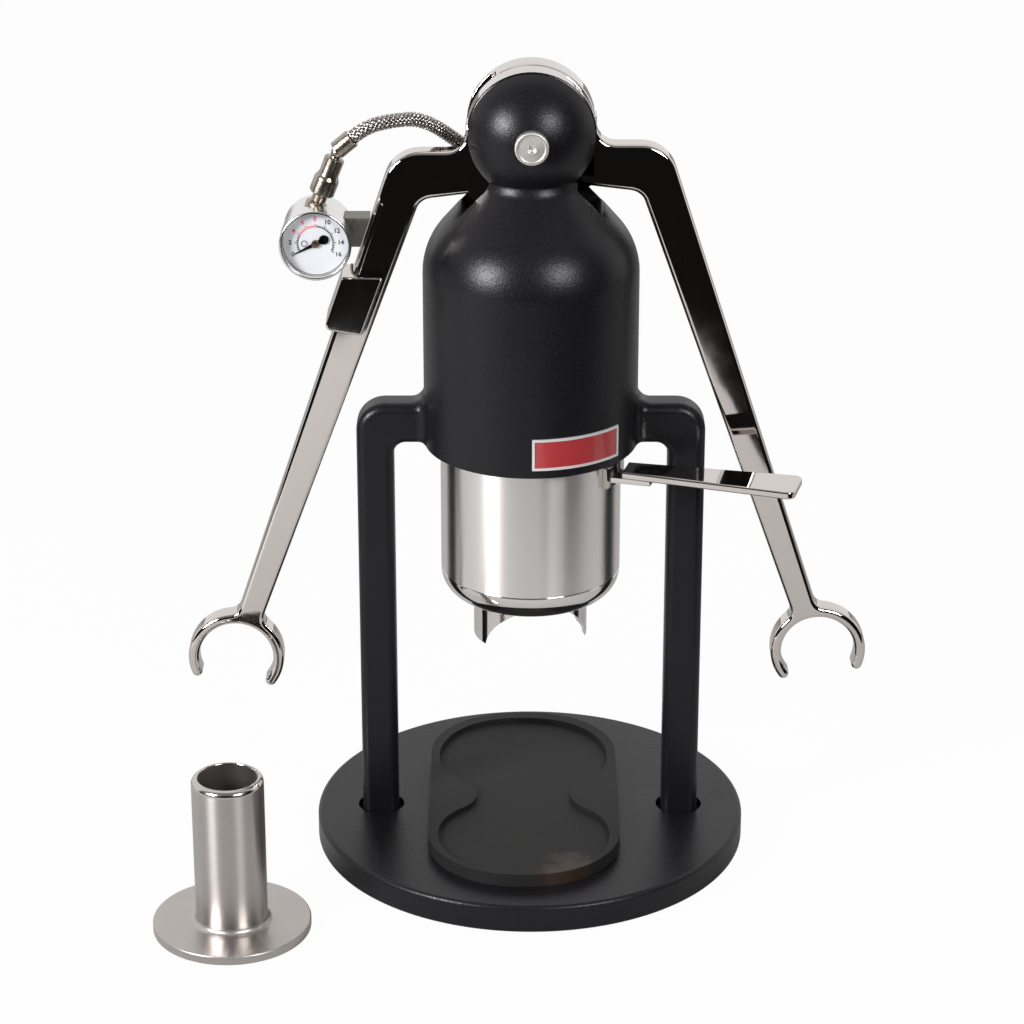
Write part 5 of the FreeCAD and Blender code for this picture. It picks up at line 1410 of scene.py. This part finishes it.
@dataclass
class Gauge:
    """Pressure gauge with its can, dial, pointer, fittings and clamp."""

    can_radius: float = 0.0121
    can_back: float = 0.0005
    can_front: float = -0.0202
    can_round: float = 0.0012
    can_mouth: float = 0.0113
    seam_from_front: float = 0.0062
    seam: tuple[tuple[float, float], ...] = (
        (0.0, 0.0), (0.00018, 0.00012), (0.00018, 0.0004), (0.0, 0.00052))
    seam_round: float = 0.0001
    seat: float = 0.0016
    bezel_radius: float = 0.0126
    bezel_lip: float = 0.0112
    bezel_back: float = -0.0156
    bezel_round: float = 0.0007
    bezel_foot: float = 0.0002
    bezel_slope: float = 0.0003
    bezel_inside: float = 0.00025
    bezel_sill: float = 0.0001
    play: float = 0.00005
    first: float = math.radians(206.6)
    last: float = math.radians(-26.6)
    top_number: int = 16
    number_step: int = 2
    red_from: int = 4
    red_to: int = 8
    arc_radius: float = 0.0062
    arc_width: float = 0.00027
    tick_long: float = 0.0010
    tick_short: float = 0.00055
    tick_width: float = 0.00036
    number_radius: float = 0.0088
    number_size: float = 0.0023
    number_bold: float = 0.00005
    ink: float = 0.00003
    plates: tuple[tuple[str, str, float], ...] = (
        ("dial_plate", "gauge_dial", 0.0001), ("dial_window", "gauge_lens", 0.0002))
    pointer_length: float = 0.0086
    pointer_half: float = 0.0007
    pointer_point: float = 0.0001
    pointer_spread: float = 1.3
    pointer_thick: float = 0.0003
    hub_step: float = 0.0001
    tail_reach: float = 0.0033
    tail_radius: float = 0.0017
    tail_edge: float = 0.0001
    hub_radius: float = 0.0014
    hub_round: float = 0.0002
    stop_reach: float = 0.0039
    stop_radius: float = 0.0011
    stop_width: float = 0.0002
    clamp_corners: tuple[tuple[float, float, float], ...] = (
        (-0.0665, 0.2251, 0.0012), (-0.0733, 0.2055, 0.0022), (-0.0598, 0.2033, 0.0008),
        (-0.0519, 0.2247, 0.0008))
    clamp_bevel: float = 0.0018
    strap_shift: tuple[float, float, float] = (0.0016, 0.0, 0.0)
    hook_wire: float = 0.00055
    hook_y: float = -0.0127
    hook_route: tuple[tuple[float, float], ...] = (
        (-0.0606, 0.2243), (-0.0612, 0.2252), (-0.0624, 0.2262), (-0.0631, 0.2280),
        (-0.0627, 0.2300))
    soft_edge: float = 0.0002
    block_edge: float = 0.0003

    @staticmethod
    def place(depth: float) -> Matrix:
        """Give the matrix from a plane at a Y, with Z to the front, to the gauge's middle."""
        return Matrix.Translation((GAUGE_CENTRE.x, depth, GAUGE_CENTRE.z)) @ TO_FRONT

    def can(self) -> None:
        """Turn the can with its rolled seam, and the bezel over its front."""
        length = self.can_back - self.can_front
        start, seat = length - self.seam_from_front, length - self.seat
        seam = [Corner(self.can_radius - sunk, start + rise, self.seam_round)
                for sunk, rise in self.seam]
        shape = spun(rounded([
            Corner(0.0, 0.0), Corner(self.can_radius, 0.0, self.can_round), *seam,
            Corner(self.can_radius, length), Corner(self.can_mouth, length),
            Corner(self.can_mouth, seat), Corner(0.0, seat)]), place=self.place(self.can_back))
        stand_in("gauge_can", "gauge_case", shape, TURNED_CAN)
        inside = self.can_radius + self.play
        deep = self.bezel_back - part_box("gauge_bezel")[0].y
        lip = self.bezel_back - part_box("gauge_lens")[0].y + self.play
        shape = spun(rounded([
            Corner(inside, 0.0), Corner(self.bezel_radius, 0.0, self.bezel_foot),
            Corner(self.bezel_radius, deep, self.bezel_round),
            Corner(self.bezel_lip + self.bezel_slope, deep, self.bezel_inside),
            Corner(self.bezel_lip, lip, self.bezel_sill), Corner(inside, lip),
        ]), place=self.place(self.bezel_back))
        stand_in("gauge_rim", "gauge_bezel", shape, TURNED_CAN)

    def face(self) -> None:
        """Turn the dial and the window in front of it."""
        for name, node, edge in self.plates:
            low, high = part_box(node)
            stand_in(name, node, cylinder((high.x - low.x) / 2, 0.0, high.y - low.y, 96,
                                          self.place(high.y), rim=edge))

    def angle(self, value: float) -> float:
        """Give the dial angle of a reading."""
        return self.first + (self.last - self.first) * value / self.top_number

    def tick(self, value: float, length: float) -> bmesh.types.BMesh:
        """Make one tick on the outer side of the arc.

        Args:
            value: The reading.
            length: The tick's length.

        Returns:
            A closed bmesh.
        """
        shape = bmesh.new()
        bmesh.ops.create_cube(shape, size=1.0)
        middle = self.arc_radius + length / 2
        shape.transform(Matrix.Rotation(self.angle(value), 4, "Z")
                        @ Matrix.Translation((middle, 0.0, self.ink / 2))
                        @ Matrix.Diagonal((length, self.tick_width, self.ink, 1.0)))
        return shape

    def number(self, value: int) -> bmesh.types.BMesh:
        """Make one number of the scale.

        Args:
            value: The reading.

        Returns:
            The number's bmesh.
        """
        text = bpy.data.curves.new("passing", "FONT")
        text.body = str(value)
        text.size = self.number_size
        text.align_x, text.align_y = "CENTER", "CENTER"
        text.extrude = self.ink / 2
        text.offset = self.number_bold
        text.resolution_u = 3
        shape = drawn(text)
        turn = self.angle(value)
        shape.transform(Matrix.Translation((self.number_radius * math.cos(turn),
                                            self.number_radius * math.sin(turn), self.ink / 2)))
        return shape

    def arc(self, start: float, stop: float) -> bmesh.types.BMesh:
        """Make the thin arc between two readings."""
        return sector(band(self.arc_radius - self.arc_width, self.arc_radius, 0.0, self.ink),
                      self.angle(stop), self.angle(start), 32)

    def scale(self) -> None:
        """Print the scale: arc, ticks and numbers, with a red stretch."""
        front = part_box("gauge_dial")[0].y
        marks = []
        for half in range(2 * self.top_number + 1):
            length = self.tick_short if half % (2 * self.number_step) else self.tick_long
            marks.append((half / 2, self.tick(half / 2, length)))
        marks += [(value, self.number(value))
                  for value in range(0, self.top_number + 1, self.number_step)]
        black = [shape for value, shape in marks if not self.red_from <= value <= self.red_to]
        red = [shape for value, shape in marks if self.red_from <= value <= self.red_to]
        black += [self.arc(0, self.red_from), self.arc(self.red_to, self.top_number)]
        red.append(self.arc(self.red_from, self.red_to))
        for name, shapes, finish in (("dial_scale", black, BLACK_INK),
                                     ("dial_red_scale", red, RED_INK)):
            shape = joined(shapes)
            shape.transform(self.place(front))
            make_piece(name, shape, [finish], "left_arm")
        ring = spun(rounded(band(self.stop_radius - self.stop_width, self.stop_radius, 0.0,
                                 self.stop_width)),
                    32, self.place(front) @ Matrix.Translation((-self.stop_reach, 0.0, 0.0)))
        make_piece("dial_stop_ring", ring, [BLACK_INK], "left_arm")

    def pointer(self) -> None:
        """Cut the pointer with its round tail and set it on a brass hub."""
        low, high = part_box("gauge_pointer")
        half, tail = self.pointer_half, -self.tail_reach
        wide, thin = half * self.pointer_spread, self.pointer_point
        blade = extruded([Vector((x, y, 0.0)) for x, y in (
            (0.0, -half), (self.pointer_length, -thin), (self.pointer_length, thin), (0.0, half),
            (tail, wide), (tail, -wide))], (0.0, 0.0, self.pointer_thick))
        disc = cylinder(self.tail_radius, 0.0, self.pointer_thick, 32,
                        Matrix.Translation((tail, 0.0, 0.0)), rim=self.tail_edge)
        shape = joined([blade, disc])
        shape.transform(self.place(high.y) @ Matrix.Rotation(self.first, 4, "Z"))
        stand_in("dial_pointer", "gauge_pointer", shape)
        top, step = high.y - low.y, self.hub_step
        hub = spun(rounded([Corner(0.0, -step), Corner(self.hub_radius, -step),
                            Corner(self.hub_radius, top - step, self.hub_round),
                            Corner(0.0, top)]),
                   48, self.place(high.y))
        make_piece("dial_hub", hub, [BRASS], "gauge_needle")

    def clamp(self) -> None:
        """Forge the clamp: a polished block with bevelled edges."""
        low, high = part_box("gauge_clamp")
        shape = extruded([Vector((point.x, low.y, point.z)) for point in rounded([
            Corner(x, z, size) for x, z, size in self.clamp_corners])], (0.0, high.y - low.y, 0.0))
        rims = [edge for edge in shape.edges
                if max(abs(vertex.co.y - low.y) for vertex in edge.verts) < MERGE]
        bmesh.ops.bevel(shape, geom=rims, offset=self.clamp_bevel, offset_type="OFFSET", segments=4,
                        profile=0.5, affect="EDGES", clamp_overlap=True, material=-1)
        make_piece("forged_clamp", shape, [FINISHES["polished_chrome"]], "left_arm",
                   ["gauge_clamp"])

    def hook(self) -> None:
        """Bend the little hook at the top of the clamp."""
        wire = line_curve("NURBS", [[(x, self.hook_y, z) for x, z in self.hook_route]])
        wire.bevel_depth = self.hook_wire
        wire.bevel_resolution = 3
        wire.use_fill_caps = True
        make_piece("clamp_hook", drawn(wire), [FINISHES["plated_fitting"]], "left_arm")

    def build(self) -> None:
        """Make the gauge and dress what carries it."""
        self.can()
        self.face()
        self.scale()
        self.pointer()
        self.hook()
        dress_node("gauge_stem", edge=self.soft_edge)
        dress_node("gauge_ferrule", edge=self.soft_edge)
        dress_node("gauge_block", BLOCK_STEEL, edge=self.block_edge)
        strap = merged_copy("gauge_strap")
        strap.transform(Matrix.Translation(self.strap_shift))
        make_piece("thin_strap", strap, [FINISHES["polished_chrome"]], "left_arm", ["gauge_strap"],
                   edge=self.soft_edge)
        self.clamp()
        dress_node("clamp_screw")


# Hose

Station = tuple[Vector, Vector, Vector, float]


@dataclass
class Hose:
    """Braided hose from the gauge's ferrule to the gland on the rear shoulder."""

    route: tuple[Colour, ...] = (
        (-0.06196, -0.01150, 0.27524), (-0.05736, -0.01150, 0.27909), (-0.04800, -0.00700, 0.28020),
        (-0.03800, 0.00100, 0.27860), (-0.02653, 0.01363, 0.26748), (-0.01801, 0.02420, 0.25725))
    radius: float = 0.0028
    wire: float = 0.00044
    carriers: int = 8
    lead: float = 0.0136
    lift: float = 0.8
    steps: int = 150
    liner: float = 0.0023
    gland_edge: float = 0.0003

    def centre_line(self) -> list[Vector]:
        """Read the points of the smooth line through the route.

        Returns:
            The points, in order.
        """
        line = drawn(line_curve("NURBS", [self.route], 24))
        points = [vertex.co.copy() for vertex in line.verts]
        line.free()
        return points

    def rail(self) -> list[Station]:
        """Walk along the line in even steps.

        Returns:
            For each step its point, two directions square to the line and the length so far.
        """
        points = self.centre_line()
        lengths = [0.0]
        for before, after in zip(points, points[1:]):
            lengths.append(lengths[-1] + (after - before).length)
        side = (points[1] - points[0]).orthogonal().normalized()
        rail: list[Station] = []
        at = 0
        for step in range(self.steps + 1):
            reach = lengths[-1] * step / self.steps
            while at < len(points) - 2 and lengths[at + 1] < reach:
                at += 1
            ahead = (points[at + 1] - points[at]).normalized()
            spot = points[at] + ahead * (reach - lengths[at])
            side = (side - ahead * side.dot(ahead)).normalized()
            rail.append((spot, side.copy(), ahead.cross(side), reach))
        return rail

    def strands(self, rail: list[Station]) -> bpy.types.Mesh:
        """Weave the wires of both ways round the line.

        Args:
            rail: The steps along the line.

        Returns:
            The mesh of all wires.
        """
        middle = self.radius - 2 * self.wire
        routes = []
        for sense in (1, -1):
            for carrier in range(self.carriers):
                route = []
                for spot, side, other, reach in rail:
                    round_turns = 2 * math.pi * reach / self.lead
                    turn = 2 * math.pi * carrier / self.carriers + sense * round_turns
                    beat = math.cos(self.carriers * round_turns)
                    out = middle + sense * self.lift * self.wire * beat
                    route.append(spot + (side * math.cos(turn) + other * math.sin(turn)) * out)
                routes.append(route)
        curve = line_curve("POLY", routes)
        curve.bevel_depth = self.wire
        curve.bevel_resolution = 1
        return evaluated_mesh(link_object("passing", curve))

    def tube(self, rail: list[Station]) -> bmesh.types.BMesh:
        """Bridge rings along the line into the liner under the braid.

        Args:
            rail: The steps along the line.

        Returns:
            A closed bmesh.
        """
        shape = bmesh.new()
        loops = []
        for spot, side, other, _ in rail[::3]:
            ring = bmesh.ops.create_circle(shape, segments=20, radius=self.liner,
                                           cap_ends=False)["verts"]
            turn = Matrix((side, other, side.cross(other))).transposed().to_4x4()
            bmesh.ops.transform(shape, verts=ring, matrix=Matrix.Translation(spot) @ turn)
            loops.append(list({edge for vertex in ring for edge in vertex.link_edges}))
        return bridged(loops, shape)

    def build(self) -> None:
        """Make the braid and its liner, and dress the gland."""
        rail = self.rail()
        for name, mesh, slot in (("hose_braid", self.strands(rail), "braided_steel"),
                                 ("hose_liner", mesh_of("hose_liner", self.tube(rail)),
                                  "black_rubber")):
            piece = link_object(name, mesh)
            finished_mesh(mesh, [FINISHES[slot]], HOSE_ANGLE)
            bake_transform(piece)
            if slot == "braided_steel":
                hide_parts("pressure_hose")
        log.info("hose: %.1f mm along its line", rail[-1][3] * 1000)
        dress_node("hose_gland", edge=self.gland_edge)


# Tamper

@dataclass
class Tamper:
    """Steel flange with a hollow stem."""

    stem: float = 0.0129
    bore: float = 0.0105
    flange_height: float = 0.0035
    fillet: float = 0.0022
    edge: float = 0.0006
    rim: float = 0.0022
    rim_inside: float = 0.0004
    flange_in: float = 0.0006
    bore_round: float = 0.0005

    def build(self) -> None:
        """Turn the tamper where it stands."""
        low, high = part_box("tamper")
        radius = (high.x - low.x) / 2 - self.flange_in
        height = high.z - low.z
        foot = low.z + self.flange_height + self.fillet
        shape = spun(rounded([
            Corner(0.0, 0.0),
            Corner(radius, 0.0, self.edge),
            Corner(radius, self.flange_height, self.edge),
            Corner(self.stem, self.flange_height, self.fillet),
            Corner(self.stem, height, self.rim),
            Corner(self.bore, height, self.rim_inside),
            Corner(self.bore, self.flange_height, self.bore_round),
            Corner(0.0, self.flange_height),
        ], 10), 192, Matrix.Translation((TAMPER_CENTRE.x, TAMPER_CENTRE.y, low.z)))
        for face in shape.faces:
            middle = face.calc_center_median()
            away = math.hypot(middle.x - TAMPER_CENTRE.x, middle.y - TAMPER_CENTRE.y)
            if middle.z > low.z + height - self.rim:
                face.material_index = 1
            elif middle.z < foot or away < self.bore + 10 * MERGE:
                face.material_index = 2
        stand_in("turned_tamper", "tamper", shape, TURNED_TAMPER, POLISHED_RIM, FLANGE_STEEL)


# Studio

WHITE = (1.0, 1.0, 1.0, 1.0)


@dataclass
class Studio:
    """Camera, two soft boxes, the pale floor and the room's light."""

    camera_place: Colour = (-0.00677, -1.11468, 0.59578)
    camera_tilt: float = math.radians(67.344)
    lens: float = 116.30
    sensor: float = 36.0
    nearest: float = 0.05
    left_box: Colour = (-0.864, -0.725, 0.610)
    right_box: Colour = (0.587, -0.905, 0.726)
    aim: Colour = (0.0, 0.0, 0.2)
    box_size: float = 0.4
    left_power: float = 21.0
    right_power: float = 9.5
    floor_edge: tuple[tuple[float, float], ...] = (
        (-2.0, 3.0), (-2.0, -0.58), (0.081, -0.58), (0.097, -0.49), (0.110, -0.418), (0.147, -0.21),
        (0.30, -0.17), (2.0, -0.15), (2.0, 3.0))
    floor_white: float = 0.42
    seen_share: float = 0.97
    mirrored_share: float = 0.05
    room_back: float = 0.97
    room_front: float = 0.008
    room_top: float = 0.25
    back_starts: tuple[float, float] = (-0.10, 0.15)
    top_starts: tuple[float, float] = (0.50, 0.75)

    def camera(self) -> None:
        """Stand the camera where the photograph was taken from."""
        data = bpy.data.cameras.new("camera")
        data.lens = self.lens
        data.sensor_width = self.sensor
        data.clip_start = self.nearest
        camera = link_object("camera", data)
        camera.location = self.camera_place
        camera.rotation_euler = (self.camera_tilt, 0.0, 0.0)
        bpy.context.scene.camera = camera

    def lamp(self, name: str, place: Colour, power: float) -> None:
        """Hang one soft box and aim it.

        Args:
            name: The lamp's name.
            place: Where it hangs.
            power: Its power in watts.
        """
        data = bpy.data.lights.new(name, "AREA")
        data.shape = "SQUARE"
        data.size = self.box_size
        data.energy = power
        lamp = link_object(name, data)
        lamp.location = place
        lamp.rotation_euler = (Vector(self.aim) - Vector(place)).to_track_quat("-Z", "Y").to_euler()

    def floor(self) -> None:
        """Lay the pale floor, which ends a little way in front of the object."""
        shape = bmesh.new()
        shape.faces.new([shape.verts.new((x, y, 0.0)) for x, y in self.floor_edge])
        mesh = mesh_of("floor", mend(shape))
        floor = link_object("floor", mesh)
        material = bpy.data.materials.new("pale_floor")
        material.use_nodes = True
        graph = Graph(material.node_tree)
        path = graph.node("ShaderNodeLightPath")
        mirrored = graph.math("MAXIMUM", graph.out(path, "Is Glossy Ray"),
                              graph.out(path, "Is Transmission Ray"))
        share = graph.out(path, "Is Camera Ray") * self.seen_share + mirrored * self.mirrored_share
        paper = graph.made("ShaderNodeBsdfDiffuse", {"Color": (*(self.floor_white,) * 3, 1.0)})
        white = graph.made("ShaderNodeEmission", {"Color": WHITE, "Strength": 1.0})
        mix = graph.made("ShaderNodeMixShader", {0: share, 1: paper, 2: white})
        graph.node("ShaderNodeOutputMaterial", {"Surface": mix})
        mesh.materials.append(material)

    def room(self) -> None:
        """Light the room: white to the camera, bright behind and dark in front."""
        world = bpy.data.worlds.new("room")
        world.use_nodes = True
        bpy.context.scene.world = world
        graph = Graph(world.node_tree)
        _, back, up = graph.parts(graph.made("ShaderNodeTexCoord", output="Generated"))
        behind = back.rise(*self.back_starts)
        light = (behind * (self.room_back - self.room_front) + self.room_front
                 + up.rise(*self.top_starts) * self.room_top * (1 - behind))
        seen = graph.made("ShaderNodeLightPath", output="Is Camera Ray")
        strength = light * (1 - seen) + seen
        background = graph.made("ShaderNodeBackground", {"Color": WHITE, "Strength": strength})
        graph.node("ShaderNodeOutputWorld", {"Surface": background})

    def build(self) -> None:
        """Set the studio up."""
        bpy.context.scene.view_settings.view_transform = "Standard"
        self.camera()
        self.lamp("left_soft_box", self.left_box, self.left_power)
        self.lamp("right_soft_box", self.right_box, self.right_power)
        self.floor()
        self.room()


def main() -> None:
    """Build the studio and every sub-assembly, in order."""
    logging.basicConfig(level=logging.INFO, format="%(name)s: %(message)s")
    makers: list[tuple[str, Callable[[], None]]] = [
        ("studio", Studio().build),
        ("base", Base().build),
        ("body", Body().build),
        ("levers", Levers().build),
        ("portafilter", Portafilter().build),
        ("gauge", Gauge().build),
        ("hose", Hose().build),
        ("tamper", Tamper().build),
    ]
    for name, build in makers:
        build()
        log.info("%s is in place", name)


if __name__ == "__main__":
    main()
